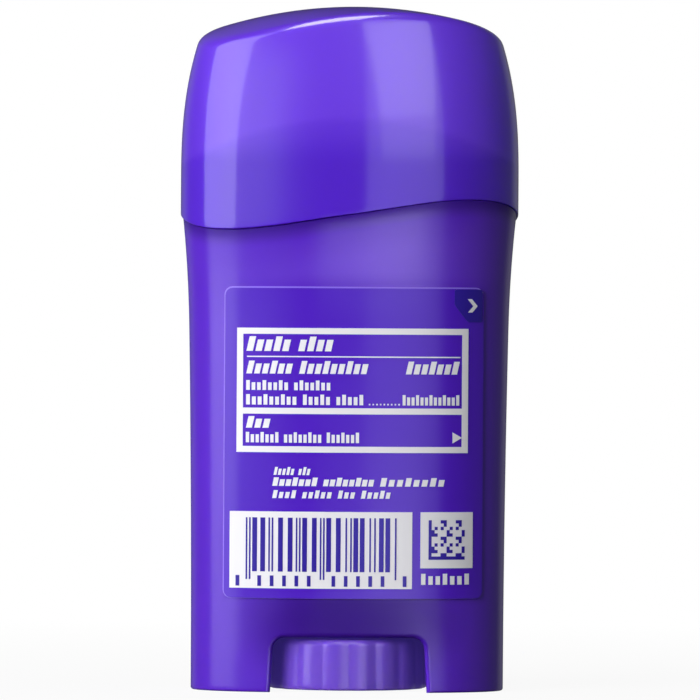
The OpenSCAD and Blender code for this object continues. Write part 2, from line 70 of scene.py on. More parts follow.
# %% [markdown]
# ## The camera
# The photograph shows the pack square on and level, from so far away that its sides hardly
# converge. A long lens gives that: the lens is worked out from how wide the picture is at
# the pack's middle plane. The camera stands a hair to the left, because the label's print
# lies a little right of the pack's own middle, and it is turned a hair, because the lines
# of print climb to the right.

# %% Place the camera
view_width = 115.9
camera_away = 1300
camera_height = 59.6
camera_turn = math.radians(1.3)
camera_roll = math.radians(0.35)
aim = Vector((0.2, 0, 56.2)) * MM

camera = bpy.data.objects.new("camera", bpy.data.cameras.new("camera"))
bpy.context.scene.collection.objects.link(camera)
bpy.context.scene.camera = camera
camera.data.sensor_width = 36
camera.data.lens = camera.data.sensor_width * camera_away / view_width
camera.data.clip_start = 0.05
camera.data.clip_end = 20
camera.location = aim + Vector((
    -camera_away * MM * math.sin(camera_turn),
    -camera_away * MM * math.cos(camera_turn),
    camera_height * MM - aim.z))
looking = (aim - camera.location).to_track_quat("-Z", "Y").to_matrix()
camera.rotation_euler = (looking @ Matrix.Rotation(camera_roll, 3, "Z")).to_euler()
print("Lens in mm:", round(camera.data.lens))

# %% [markdown]
# ## Sizes that the pieces share
# A real pack is drawn from one oval, and every piece is that oval drawn smaller or larger.
# The values below are millimetres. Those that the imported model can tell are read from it,
# so that the skins fit the solids that they dress.

# %% Sizes in millimetres
pack_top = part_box("cap")[1].z / MM
cap_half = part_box("cap")[1].x / MM
neck_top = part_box("barrel")[1].z / MM
oval_power = 2.2
inset = 12.35
base_half = 25.85
body_taper = 1.0
body_flare = 0.75
flare_h = 18.5
seam_z = 78.5
seam_wave = 2.5
floor_z = 9.3
floor_top = 10.7
print("Top of the cap, cap half width, top of the neck:",
      round(pack_top, 2), round(cap_half, 2), round(neck_top, 2))

# %% [markdown]
# An oval that is a little squarer than an ellipse is a superellipse: the sine and cosine of
# an ellipse are bent by a power. Half the depth is always the half width less one inset.

# %% The oval
def bent(value, power):
    """A value raised to a power with its sign kept."""
    return math.copysign(abs(value) ** power, value)


def oval(half_width, turn, half_depth=None):
    """The point of an oval at a turn, in radians."""
    if half_depth is None:
        half_depth = half_width - inset
    return (half_width * bent(math.cos(turn), 2 / oval_power),
            half_depth * bent(math.sin(turn), 2 / oval_power))


def level(half_width, z, half_depth=None):
    """A rule for a level oval ring."""
    return lambda turn: (*oval(half_width, turn, half_depth), z)


def round_ring(radius, z):
    """A rule for a level round ring."""
    return lambda turn: (radius * math.cos(turn), radius * math.sin(turn), z)


def point(z):
    """A rule for a ring that has closed to one point on the axis."""
    return lambda turn: (0, 0, z)


def shares(first, last, count):
    """Evenly spaced values from first to last, both ends included."""
    return [first + (last - first) * k / (count - 1) for k in range(count)]


print("Oval at the base, half width and half depth:", oval(base_half, 0)[0], base_half - inset)

# %% [markdown]
# ## From a flat grid to a skin
# A moulded shell could be turned on a lathe if it were round. This one is oval, so a flat
# grid is rolled up instead: each column of the grid is a place round the pack, and each
# row is a ring with its own rule. Where the rolled edges meet, and where a ring closes to
# a point, the doubled corners are merged, so the skin is closed.

# %% Roll a grid into a skin
def roll_up(rings, columns=192):
    """Rolls a grid into a closed skin, one rule of a ring for each of its rows."""
    skin = bmesh.new()
    rows = len(rings) - 1
    bmesh.ops.create_grid(skin, x_segments=columns, y_segments=rows, size=1)
    for corner in skin.verts:
        turn = math.pi * (corner.co.x + 1)
        ring = rings[round((corner.co.y + 1) / 2 * rows)]
        corner.co = Vector(ring(turn)) * MM
    bmesh.ops.remove_doubles(skin, verts=skin.verts, dist=0.0005 * MM)
    bmesh.ops.recalc_face_normals(skin, faces=skin.faces)
    return skin


def add_to(skin, *others):
    """Joins other skins into the first, as parts of one moulding."""
    for other in others:
        spare = bpy.data.meshes.new("spare")
        other.to_mesh(spare)
        other.free()
        skin.from_mesh(spare)
        bpy.data.meshes.remove(spare)
    return skin


def piece(name, skin, body, replaced=(), sharp=32):
    """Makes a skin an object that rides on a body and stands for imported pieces."""
    mesh = bpy.data.meshes.new(name)
    skin.to_mesh(mesh)
    skin.free()
    mesh.shade_smooth()
    mesh.set_sharp_from_angle(angle=math.radians(sharp))
    made = bpy.data.objects.new(name, mesh)
    bpy.context.scene.collection.objects.link(made)
    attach(made, body)
    if replaced:
        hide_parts(*replaced)
    print(name, "has", len(mesh.polygons), "faces")
    return made


trial = roll_up([point(0), level(20, 0), level(20, 5), point(5)], columns=24)
print("A trial drum rolls up into", len(trial.faces), "faces")
trial.free()

# %% [markdown]
# ## The overcap
# The cap is one thin moulded shell, dyed violet. Its crown is a shallow dome that is
# twisted, so that its edge climbs from one corner of the front to the other, and its
# lower edge follows the waved seam. The skin runs from the middle of the ceiling out and
# down the inside, round the lip, up the outside and over the rounded edge to the middle
# of the crown.

# %% Sizes of the cap
cap_wall = 1.3
ceiling_t = 1.4
cap_draw = 2.9
cap_draw_power = 2.6
draw_z = seam_z + 5.5
draw_h = pack_top - 5.5 - draw_z
crown_r_wide = 60
crown_r_deep = 37
crown_twist = 0.0083
crown_edge_r = 1.2
lip_r = 0.15
print("The cap's side draws in from", draw_z, "mm up, over", round(draw_h, 1), "mm")


# %% Shape of the cap
def crown(x, y):
    """Height of the twisted crown over a point."""
    return (pack_top - x * x / (2 * crown_r_wide) - y * y / (2 * crown_r_deep)
            - crown_twist * x * y)


def seam(turn):
    """Height of the waved seam round the pack."""
    return seam_z - seam_wave * math.sin(2 * turn)


def cap_point(turn, z, thin=0):
    """A point of the cap's side, drawn in by a thickness."""
    drawn = cap_draw * max(0, (z - draw_z) / draw_h) ** cap_draw_power
    return (*oval(cap_half - drawn - thin, turn), z)


def crown_edge(turn, thin=0, drop=0):
    """Height at which the side meets the crown."""
    z = pack_top - 5
    # Where the side ends depends on the crown, and the crown's height on where the side
    # is. Four rounds settle both.
    for settling in range(4):
        x, y, z = cap_point(turn, z, thin)
        z = crown(x, y) - drop
    return z


def crown_point(turn, share, thin=0, drop=0):
    """A point of the crown, at a share of the way from its middle to its edge."""
    x, y, z = cap_point(turn, crown_edge(turn, thin, drop), thin)
    return (x * share, y * share, crown(x * share, y * share) - drop)


def between(start, corner, end, share):
    """A point of the smooth curve that rounds off a corner."""
    return tuple(a * (1 - share) ** 2 + c * 2 * share * (1 - share) + b * share ** 2
                 for a, c, b in zip(start, corner, end))


print("Crown edge at the front's left and right:",
      round(crown_edge(math.radians(205)), 1), round(crown_edge(math.radians(335)), 1))


# %% Rings of the cap
def cap_side_ring(share, thin=0, drop=0, stop=0):
    """A ring of the side, at a share of the way from the seam to the crown."""
    def ring(turn):
        low = seam(turn)
        high = crown_edge(turn, thin, drop) - stop
        return cap_point(turn, low + (high - low) * share, thin)
    return ring


def cap_lip_ring(thin, up):
    """A ring of the lip, a little over the seam."""
    return lambda turn: cap_point(turn, seam(turn) + up, thin)


def cap_edge_ring(share, r, thin=0, drop=0):
    """A ring of the rounded edge, at a share of the way from side to crown."""
    def ring(turn):
        top = crown_edge(turn, thin, drop)
        keep = 1 - r / (cap_half - inset)
        return between(cap_point(turn, top - r, thin), cap_point(turn, top, thin),
                       crown_point(turn, keep, thin, drop), share)
    return ring


def cap_crown_ring(share, thin=0, drop=0):
    """A ring of the crown, at a share of the way from its middle to its edge."""
    return lambda turn: crown_point(turn, share, thin, drop)


edge_keep = 1 - crown_edge_r / (cap_half - inset)
inner_r = 0.9
inner_keep = 1 - inner_r / (cap_half - inset)
cap_rings = [cap_crown_ring(0, cap_wall, ceiling_t)]
cap_rings += [cap_crown_ring(s, cap_wall, ceiling_t) for s in shares(0.08, inner_keep - 0.02, 10)]
cap_rings += [cap_edge_ring(s, inner_r, cap_wall, ceiling_t) for s in shares(1, 0, 6)]
cap_rings += [cap_side_ring(s, cap_wall, ceiling_t, inner_r) for s in shares(0.95, 0.04, 20)]
cap_rings += [cap_lip_ring(cap_wall, 0.2), cap_lip_ring(cap_wall - 0.06, 0.06),
              cap_lip_ring(cap_wall - 0.2, 0)]
cap_rings += [cap_lip_ring(lip_r * (1 - math.sin(a)), lip_r * (1 - math.cos(a)))
              for a in shares(0, math.pi / 2, 7)]
cap_rings += [cap_side_ring(s, 0, 0, crown_edge_r) for s in shares(0.04, 0.98, 36)]
cap_rings += [cap_edge_ring(s, crown_edge_r) for s in shares(0, 1, 9)]
cap_rings += [cap_crown_ring(s) for s in shares(edge_keep - 0.03, 0.06, 14)]
cap_rings += [cap_crown_ring(0)]
overcap = piece("overcap_shell", roll_up(cap_rings), "cap", ["cap"])

# %% [markdown]
# The cap is dyed, and light from behind still comes through its empty crown. Lower down
# the seal's dome and the neck stand right behind the wall and hold that light back. That
# light is painted into the cap's colour. One value at each corner of the mesh says how
# much gets through: it steps up at the line of the dome and climbs slowly below it. It
# also drops toward the narrow ends, a painted shade where the eye looks along the dyed
# wall and not straight through it.

# %% Light through the crown
dome_line = 94.0
dome_drop = 2.7 / 17 ** 2
dome_blur = 1.6
dark_z = 86.5
step_share = 0.4
end_x = 20
end_w = 7
end_loss = 0.55


def smooth(share):
    """A share from 0 to 1 with soft ends."""
    share = max(0, min(1, share))
    return share * share * (3 - 2 * share)


# Painted light and painted shade: this value mixes a backlit violet into the cap's colour.
let_through = overcap.data.attributes.new("light_through", "FLOAT", "POINT")
for corner, value in zip(overcap.data.vertices, let_through.data):
    x, y, z = corner.co / MM
    edge = dome_line - dome_drop * x * x
    step = smooth((z - edge) / dome_blur + 0.5)
    below = smooth((z - dark_z) / (edge - dark_z))
    lost = end_loss * smooth((abs(x) - end_x) / end_w)
    value.value = max(0, step_share * step + (1 - step_share) * below - lost)
print("Corners over the empty crown:", sum(value.value > 0.5 for value in let_through.data))

# %% [markdown]
# ## The barrel
# The barrel is an oval tube that widens slowly and then flares to the seam. A floor near
# its foot carries the thumb wheel, and over the shoulder stands the neck that the cap
# grips. A shallow scoop round each window lets a thumb reach the wheel. The skin is a
# ring that closes on itself round the hole in the floor, so it has no point at its middle.

# %% Sizes of the barrel
bore_low = base_half - 1.4
neck_half = cap_half - cap_wall - 0.3
bore_top = neck_half - 1.25
scoop_d = 0.6
scoop_w = 20.5
scoop_h = 16
shoulder_r = 0.15
foot_r = 0.4
floor_fillet = 0.8
hole_r = 4.3
seam_gap = 0.06
bead_h = 0.15
bead_z = neck_top - 4
level_z = seam_z - 12
print("Half width of the bore at the floor and at the neck:", bore_low, round(bore_top, 2))


# %% Shape of the barrel
def body_half(z):
    """Half width of the barrel at a height."""
    flare = max(0, (z - seam_z + flare_h) / flare_h)
    return base_half + body_taper * (max(z, 0) / seam_z) ** 2 + body_flare * flare ** 2


def scoop(x, z):
    """Depth of the thumb scoop at a place on the face."""
    reach = (x / scoop_w) ** 2 + (z / scoop_h) ** 2
    return scoop_d * (1 - reach) ** 1.5 if reach < 1 else 0


def body_point(turn, z, inward=0):
    """A point of the barrel's outside."""
    x, y = oval(body_half(z) - inward, turn)
    return (x, y - math.copysign(scoop(x, z) * abs(math.sin(turn)), y), z)


def body_ring(z, inward=0):
    """A level ring of the barrel's outside."""
    return lambda turn: body_point(turn, z, inward)


def upper_ring(share, down=0, inward=0):
    """A ring that turns from level to the wave of the seam."""
    def ring(turn):
        edge = seam(turn) - seam_gap - down
        return body_point(turn, level_z + (edge - level_z) * share, inward)
    return ring


def neck_foot(turn):
    """A point where the neck rises out of the shoulder."""
    return (*oval(neck_half, turn), seam(turn) - seam_gap)


def floor_ring(share, z):
    """A ring of the flat floor, from the round hole out to the oval wall."""
    def ring(turn):
        x, y = oval(bore_low - floor_fillet, turn)
        return (hole_r * math.cos(turn) * (1 - share) + x * share,
                hole_r * math.sin(turn) * (1 - share) + y * share, z)
    return ring


def bore_half(z):
    """Half width of the bore at a height."""
    return bore_low + (bore_top - bore_low) * (z - floor_top) / (neck_top - floor_top)


print("Barrel half width at foot and seam:", body_half(0), round(body_half(seam_z), 2))

# %% Rings of the barrel
quarter = shares(0, math.pi / 2, 6)
barrel_rings = [floor_ring(s, floor_z) for s in shares(0, 1, 7)]
barrel_rings += [level(bore_low - floor_fillet * (1 - math.sin(a)),
                       floor_z - floor_fillet * (1 - math.cos(a))) for a in quarter[1:]]
barrel_rings += [level(bore_low, z) for z in shares(7.5, 0.2, 6)]
barrel_rings += [level(bore_low + 0.06, 0.06), level(bore_low + 0.2, 0)]
barrel_rings += [body_ring(foot_r * (1 - math.sin(a)), foot_r * (1 - math.cos(a)))
                 for a in reversed(quarter[1:])]
barrel_rings += [body_ring(z) for z in shares(foot_r, scoop_h + 1, 34)]
barrel_rings += [body_ring(z) for z in shares(scoop_h + 2.5, level_z - 1.5, 28)]
barrel_rings += [upper_ring(s, shoulder_r) for s in shares(0, 1, 16)]
barrel_rings += [upper_ring(1, shoulder_r * (1 - math.sin(a)), shoulder_r * (1 - math.cos(a)))
                 for a in quarter[1:]]
barrel_rings += [neck_foot, lambda turn: (*oval(neck_half, turn), seam(turn) + 0.4)]
barrel_rings += [level(neck_half + bead_h * math.sin(a), bead_z - 0.8 * math.cos(a))
                 for a in shares(0, math.pi, 9)]
barrel_rings += [level(neck_half - 0.3 * (1 - math.cos(a)), neck_top - 0.3 * (1 - math.sin(a)))
                 for a in quarter]
barrel_rings += [level(bore_top + 0.2, neck_top), level(bore_half(neck_top - 0.2), neck_top - 0.2)]
barrel_rings += [level(bore_half(z), z)
                 for z in shares(neck_top - 3, floor_top + floor_fillet, 12)]
barrel_rings += [level(bore_low - floor_fillet * (1 - math.cos(a)),
                       floor_top + floor_fillet * (1 - math.sin(a))) for a in quarter[1:]]
barrel_rings += [floor_ring(s, floor_top) for s in shares(1, 0, 7)[1:]]
barrel_rings += [floor_ring(0, floor_z)]
barrel_skin = roll_up(barrel_rings)
print("Barrel skin has", len(barrel_skin.faces), "faces before its windows are cut")

# %% [markdown]
# The two thumb windows could be built into the rings, but a cut is closer to how the mould
# makes them: a block the shape of the window shuts against the wall. The block is a rolled
# skin too. It widens toward the outside along a quarter circle that follows the curved
# face, which leaves the rounded lip that catches the light round the real window.

# %% Outline of the window
window_w = 25.7
window_top_w = 24.7
window_h = 9.0
window_r = 2.0
window_lip = 0.8


def face_depth(x, z):
    """How far the broad face stands out from the middle at a place on it."""
    half = body_half(z)
    share = max(0, 1 - abs(x / half) ** oval_power) ** (1 / oval_power)
    return (half - inset) * share - scoop(x, z)


def window_outline(grow):
    """The window's edge, from its left foot over to its right and back under."""
    slant = math.atan2((window_w - window_top_w) / 2, window_h)
    middle_x = window_top_w / 2 - window_r * math.tan(math.radians(45) - slant / 2)
    middle_z = window_h - window_r
    r = window_r + grow
    arc = [(middle_x + r * math.cos(a), middle_z + r * math.sin(a))
           for a in shares(slant, math.pi / 2, 13)]
    foot = window_w / 2 + grow + math.tan(slant)
    side = [(foot + (arc[0][0] - foot) * s, -1 + (arc[0][1] + 1) * s)
            for s in shares(0, 1, 12)[:-1]]
    top = [(x, window_h + grow) for x in shares(arc[-1][0], -arc[-1][0], 22)[1:-1]]
    under = [(x, -1) for x in shares(-foot, foot, 22)[1:]]
    right = side + arc
    return right + top + [(-x, z) for x, z in reversed(right)] + under


print("The window's outline has", len(window_outline(0)), "points")


# %% Block that cuts the window
def window_ring(grow, deep=None, flat=None):
    """A ring of the cutting block, at a depth under the face or on a flat plane."""
    edge = window_outline(grow)

    def ring(turn):
        x, z = edge[round(turn / (2 * math.pi) * (len(edge) - 1))]
        return (x, flat if deep is None else deep - face_depth(x, max(z, 0)), z)
    return ring


def window_block():
    """The block that cuts one window through the barrel's front."""
    outside = -16
    inside = -6
    rings = [lambda turn: (0, outside, window_h / 2), window_ring(window_lip, flat=outside)]
    rings += [window_ring(window_lip * (1 - math.sin(a)), deep=window_lip * (1 - math.cos(a)))
              for a in shares(0, math.pi / 2, 8)]
    rings += [window_ring(0, flat=inside), lambda turn: (0, inside, window_h / 2)]
    return roll_up(rings, columns=len(window_outline(0)) - 1)


back_block = window_block()
bmesh.ops.rotate(back_block, verts=back_block.verts, cent=(0, 0, 0),
                 matrix=Matrix.Rotation(math.pi, 3, "Z"))
block = add_to(window_block(), back_block)
print("Cutting blocks have", len(block.faces), "faces")

# %% Cut the windows
barrel = piece("barrel_shell", barrel_skin, "barrel", ["barrel"])
block_mesh = bpy.data.meshes.new("window_blocks")
block.to_mesh(block_mesh)
block.free()
block_tool = bpy.data.objects.new("window_blocks", block_mesh)
bpy.context.scene.collection.objects.link(block_tool)
cut = barrel.modifiers.new("windows", "BOOLEAN")
cut.operation = "DIFFERENCE"
cut.solver = "EXACT"
cut.object = block_tool
seen = barrel.evaluated_get(bpy.context.evaluated_depsgraph_get())
cut_mesh = bpy.data.meshes.new_from_object(seen)
barrel.modifiers.remove(cut)
barrel.data = cut_mesh
cut_mesh.name = "barrel_shell"
cut_mesh.set_sharp_from_angle(angle=math.radians(32))
bpy.data.objects.remove(block_tool)
print("Barrel has", len(cut_mesh.polygons), "faces with its windows")

# %% [markdown]
# The barrel's wall is milky, so how much light comes through it from behind changes how it
# looks. Over the white stick it is light. Two places have no stick behind them and get less
# light: the thick step under the seam, where the wall turns in to become the neck, and the
# hollow round the thumb wheel. There a painted shade makes the violet deeper. In the middle
# above the label a painted sheen makes it paler. One value at each corner of the mesh holds
# both: above zero it is painted shade, below zero painted sheen, and the barrel's material
# mixes its violets by it.

# %% Painted shade and sheen on the wall
step_h = 3.4
well_half = (21.0, 14.0)
well_z = 12.0
painted_sheen_z = 66.0
painted_sheen_rise = 3.0
painted_sheen_x = 4.0
painted_sheen_half = 15.0


def turn_at(x, y, half):
    """The turn at which an oval of this half width passes a place."""
    across = bent(max(-1, min(1, x / half)), oval_power / 2)
    deep = bent(max(-1, min(1, y / (half - inset))), oval_power / 2)
    return math.atan2(deep, across)


# Painted shade: the step under the seam and the hollow round the wheel are made deeper. Painted
# sheen: the middle above the label is made paler.
painted_shade_and_sheen = cut_mesh.attributes.new("painted_shade_and_sheen", "FLOAT", "POINT")
for corner, value in zip(cut_mesh.vertices, painted_shade_and_sheen.data):
    x, y, z = corner.co / MM
    below_seam = seam(turn_at(x, y, body_half(z))) - z
    well = 1 - (x / well_half[0]) ** 2 - ((z - well_z) / well_half[1]) ** 2
    painted_shade = max(smooth(1 - below_seam / step_h), smooth(well))
    painted_sheen = smooth((z - painted_sheen_z) / painted_sheen_rise) * math.exp(-((x - painted_sheen_x) / painted_sheen_half) ** 2)
    # The painted sheen fades out as it nears the step.
    value.value = painted_shade - painted_sheen * smooth(below_seam / (2 * step_h) - 0.2)
print("Corners over bare wall:", sum(value.value > 0.5 for value in painted_shade_and_sheen.data))

# %% [markdown]
# ## The thumb wheel and its lead screw
# Wheel and screw are one moulding. The wheel's rim has shallow lobes that a thumb can push,
# and its underside is hollow with ribs, so that it cools evenly. A journal passes through
# the floor, a collar snaps over it, and the screw with its coarse thread stands up
# through the stick. The rim's radius is a wave round the wheel, and the thread is one
# cross section that turns as it climbs.

# %% Sizes of the thumb wheel
lobes = 18
lobe_d = 0.28
rim_r = 13.2
rim_draft = 0.2
rim_foot_r = 0.5
rim_inner_r = 11.8
plate_hollow_r = 11.4
plate_out_r = 10.5
plate_in_r = 5.7
boss_z = 9.1
wheel_foot = 0.35
wheel_top = 8.7
wheel_edge_r = 1.1
journal_r = 4.0
collar_r = 4.8
collar_z = 10.9
screw_r = 3.8
core_r = 2.5
core_foot = 0.95
pitch = 5.5
plate_z = wheel_top - 1.5
screw_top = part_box("knob_screw")[1].z / MM
print("The screw makes", round((screw_top - collar_z) / pitch, 1), "turns above its collar")


# %% Rings of the thumb wheel
def wheel_radius(z):
    """Radius of the rim over its lobes, a little smaller at the top so that it leaves its
    mould."""
    return rim_r - rim_draft * (z - wheel_foot) / (wheel_top - wheel_foot)


def rim_ring(z, inward=0):
    """A ring of the lobed rim. The small addend keeps the grooves between lobes round."""
    def ring(turn):
        wave = math.sqrt(math.cos(lobes / 2 * turn) ** 2 + 0.002)
        r = wheel_radius(z) - inward - lobe_d * (1 - wave)
        return (r * math.cos(turn), r * math.sin(turn), z)
    return ring


wheel_rings = [point(floor_top), round_ring(core_r, floor_top), round_ring(core_r, core_foot)]
wheel_rings += [round_ring(journal_r, core_foot), round_ring(journal_r, plate_z)]
wheel_rings += [round_ring(plate_hollow_r, plate_z),
                round_ring(plate_hollow_r + 0.1, plate_z - 0.4),
                round_ring(rim_inner_r - 0.18, 0.6), round_ring(rim_inner_r, wheel_foot)]
wheel_rings += [rim_ring(wheel_foot, rim_foot_r)]
wheel_rings += [rim_ring(wheel_foot + rim_foot_r * (1 - math.cos(a)),
                         rim_foot_r * (1 - math.sin(a))) for a in quarter[1:]]
wheel_rings += [rim_ring(z) for z in shares(1.6, wheel_top - wheel_edge_r, 10)]
wheel_rings += [rim_ring(wheel_top - wheel_edge_r * (1 - math.sin(a)),
                         wheel_edge_r * (1 - math.cos(a))) for a in shares(0.2, math.pi / 2, 7)]
wheel_rings += [round_ring(plate_out_r, wheel_top), round_ring(plate_in_r, wheel_top)]
wheel_rings += [round_ring(plate_in_r - 0.1, boss_z), round_ring(journal_r, boss_z)]
wheel_rings += [round_ring(journal_r, collar_z)]
wheel_rings += [round_ring(collar_r, collar_z), round_ring(collar_r, collar_z + 0.5)]
wheel_rings += [round_ring(3.6, collar_z + 1.5), point(collar_z + 1.5)]
wheel_skin = roll_up(wheel_rings, columns=lobes * 12)
print("Thumb wheel skin has", len(wheel_skin.faces), "faces")


# %% The thread and the ribs
root_end = 170
crest_end = 310
flank_w = 50
ribs_round = 8


def thread_ring(z):
    """The screw's cross section at a height, turned by the pitch."""
    def ring(turn):
        angle = turn + 2 * math.pi * z / pitch
        place = math.degrees(turn)
        if place <= root_end:
            r = core_r
        elif place < root_end + flank_w:
            r = core_r + (screw_r - core_r) * (place - root_end) / flank_w
        elif place <= crest_end:
            r = screw_r
        else:
            r = core_r + (screw_r - core_r) * (360 - place) / flank_w
        return (r * math.cos(angle), r * math.sin(angle), z)
    return ring


screw_foot = collar_z + 1
thread_rings = [point(screw_foot)]
thread_rings += [thread_ring(z) for z in shares(screw_foot, screw_top, 216)]
thread_rings += [point(screw_top)]
ribs = bmesh.new()
for k in range(ribs_round):
    rib = bmesh.ops.create_cube(ribs, size=1)["verts"]
    bmesh.ops.scale(ribs, verts=rib, vec=Vector((7.9, 0.9, 5.5)) * MM)
    bmesh.ops.translate(ribs, verts=rib, vec=Vector((7.7, 0, 4.6)) * MM)
    bmesh.ops.rotate(ribs, verts=rib, cent=(0, 0, 0),
                     matrix=Matrix.Rotation(2 * math.pi * k / ribs_round, 3, "Z"))
wheel_skin = add_to(wheel_skin, roll_up(thread_rings, columns=72), ribs)
wheel = piece("thumb_wheel", wheel_skin, "knob", ["knob_screw"])

# %% [markdown]
# ## The stick
# The stick is cast in the barrel from above, so it has the barrel's section, a domed top
# and a bore where the screw runs. It could be cut from a block, but its dome and its
# rounded shoulder are rings too, so it is rolled up like the shells.

# %% Stick
stick_half = bore_low - 0.35
stick_deep = stick_half - inset
stick_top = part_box("product_stick")[1].z / MM
stick_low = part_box("product_stick")[0].z / MM
dome_rise = 5.2
stick_round = 5.85
bore_r = 4.3
foot_half = 22.75
foot_top = 19.25


def dome(share):
    """How far the dome has dropped at a share of the way to its edge."""
    return dome_rise * share ** 2


def stick_ring(share):
    """A ring of the stick's dome and rounded shoulder."""
    return level(stick_half * share, stick_top - dome(share) - stick_round * share ** 10,
                 stick_deep * share)


stick_rings = [point(screw_top + 0.6), round_ring(bore_r, screw_top + 0.6)]
stick_rings += [round_ring(bore_r, 40), round_ring(bore_r, stick_low)]
stick_rings += [level(foot_half + 0.45, stick_low), level(foot_half, stick_low + 0.1)]
stick_rings += [level(foot_half, foot_top), level(stick_half, foot_top)]
stick_rings += [level(stick_half, z) for z in shares(22, stick_top - dome_rise - stick_round, 8)]
stick_rings += [stick_ring(s) for s in (0.997, 0.99, 0.975, 0.95, 0.92, 0.88, 0.83, 0.76)]
stick_rings += [stick_ring(s) for s in shares(0.68, 0.08, 8)] + [point(stick_top)]
stick = piece("stick_block", roll_up(stick_rings, 128), "carrier", ["product_stick"])

# %% [markdown]
# ## The transit seal
# A thin domed lid lies on the stick until first use. Its plug fits the neck, its flange
# rests on the rim, and a small tab stands up to pull it by. The lid is rolled from rings,
# and the tab is a block whose upper corners are bevelled, as its mould rounds them.

# %% Seal
seal_gap = 0.35
seal_t = 0.8
plug_half = bore_top - 0.3
plug_in = plug_half - seal_t
flange_half = neck_half - 0.35
rim_z = neck_top + 0.05
under = stick_top + seal_gap
over = under + seal_t
seal_rings = [point(under)]
seal_rings += [level(stick_half * s, under - dome(s), stick_deep * s) for s in shares(0.1, 0.9, 8)]
seal_rings += [level(plug_in - 0.4, under - dome(1)), level(plug_in, under - dome(1) - 0.7)]
seal_rings += [level(plug_in, neck_top - 3), level(plug_half - 0.3, neck_top - 3)]
seal_rings += [level(plug_half, neck_top - 2.4), level(plug_half, rim_z), level(flange_half, rim_z)]
seal_rings += [level(flange_half, rim_z + 0.6), level(flange_half - 0.15, rim_z + 0.75)]
seal_rings += [level(plug_half, rim_z + 0.85)]
seal_rings += [level(stick_half * s, over - dome(s), stick_deep * s) for s in shares(0.97, 0.1, 10)]
seal_rings += [point(over)]
tab = bmesh.new()
bmesh.ops.create_cube(tab, size=1)
bmesh.ops.scale(tab, verts=tab.verts, vec=Vector((12, seal_t, 2.95)) * MM)
bmesh.ops.translate(tab, verts=tab.verts, vec=Vector((0, 0, over + 0.725)) * MM)
upright = [e for e in tab.edges if abs(e.verts[0].co.y - e.verts[1].co.y) > 0.5 * seal_t * MM
           and e.verts[0].co.z > over * MM]
bmesh.ops.bevel(tab, geom=upright, offset=1 * MM, segments=5, affect="EDGES",
                profile=0.5, material=-1)
seal_skin = add_to(roll_up(seal_rings, 128), tab)
seal = piece("transit_seal_shell", seal_skin, "seal", ["inner_seal"])

# %% [markdown]
# ## The label
# The label is two plies of film, so thin that their faces are simply lifted off the
# barrel: a flat grid is laid over the broad face, each of its points is pushed straight
# out by the film's height over the wall, and the grid is then pulled out once more for
# its thickness. Ink is laid the same way, a hair higher.

# %% Place of the label
label_left = -20.6
label_right = 21.8
label_low = 15.4
label_top = 66.6
glue_t = 0.05
ply_t = 0.14
ply_margin = 0.26
leaf_lift = 2 * glue_t + ply_t
ink_lift = leaf_lift + ply_t + 0.03
ink_t = 0.05


def on_face(x, z, lift):
    """A point over the barrel's front, lifted straight off it."""
    half = body_half(z)
    share = max(0, 1 - abs(x / half) ** oval_power) ** (1 / oval_power)
    lean_x = bent(x / half, oval_power - 1) / half
    lean_y = share ** (oval_power - 1) / (half - inset)
    grow = lift / math.hypot(lean_x, lean_y)
    return Vector((x + lean_x * grow, -face_depth(x, z) - lean_y * grow, z)) * MM


print("Middle of the label's foot:", [round(v / MM, 2) for v in on_face(0.6, label_low, glue_t)])


# %% Lay a field on the face
def lay(film, x0, x1, z0, z1, lift, thick, corner_r=0, slant=0, cell=0.8, narrow=0,
        cut=(1, 0)):
    """Lays one field on the face. A slant leans it to the right, as italics do. Narrow
    draws its height in toward the right, where 1 would end in a point, and cut is how
    wide and how high a piece is cut off its lower left corner."""
    bend = [corner_r * (1 - math.cos(a)) for a in shares(0, math.pi / 2, 5)] if corner_r else [0]
    first = x0 + bend[-1]
    last = x1 - bend[-1]
    count = max(1, math.ceil((last - first) / cell))
    places = [x0 + b for b in bend[:-1]] + shares(first, last, count + 1)
    places += [x1 - b for b in reversed(bend[:-1])]
    rows = max(1, math.ceil((z1 - z0) / (3 * cell)))
    made = bmesh.ops.create_grid(film, x_segments=len(places) - 1, y_segments=rows, size=1)
    below = {}
    for corner in made["verts"]:
        x = places[round((corner.co.x + 1) / 2 * (len(places) - 1))]
        near = min(x - x0, x1 - x)
        nip = 0
        if near < corner_r:
            nip = corner_r - math.sqrt(max(0, corner_r ** 2 - (corner_r - near) ** 2))
        nip += narrow * (z1 - z0) / 2 * (x - x0) / (x1 - x0)
        low = z0 + nip + cut[1] * max(0, 1 - (x - x0) / cut[0])
        z = low + (z1 - nip - low) * (corner.co.y + 1) / 2
        below[corner] = (x + slant * (z - z0), z)
        corner.co = on_face(*below[corner], lift)
    faces = list({face for corner in made["verts"] for face in corner.link_faces})
    outer = bmesh.ops.extrude_face_region(film, geom=faces)["geom"]
    lifted = [g for g in outer if isinstance(g, bmesh.types.BMVert)]
    near_place = {corner.co.copy().freeze(): place for corner, place in below.items()}
    for corner in lifted:
        corner.co = on_face(*near_place[corner.co.copy().freeze()], lift + thick)


trial = bmesh.new()
lay(trial, -5, 5, 30, 40, glue_t, ply_t)
print("A trial field of 10 by 10 mm has", len(trial.faces), "faces")
trial.free()


# %% The two plies
def film_piece(name, film, replaced=()):
    """Finishes a film or a print as a piece of the barrel."""
    bmesh.ops.recalc_face_normals(film, faces=film.faces)
    return piece(name, film, "barrel", replaced, sharp=40)


film = bmesh.new()
lay(film, label_left, label_right, label_low, label_top, glue_t, ply_t, 1.3)
under_film = film_piece("label_under_film", film, ["label_base"])
film = bmesh.new()
lay(film, label_left + ply_margin, label_right - 0.06, label_low + 0.06,
    label_top - ply_margin, leaf_lift, ply_t, 1.2)
top_film = film_piece("label_top_film", film, ["label_leaf"])

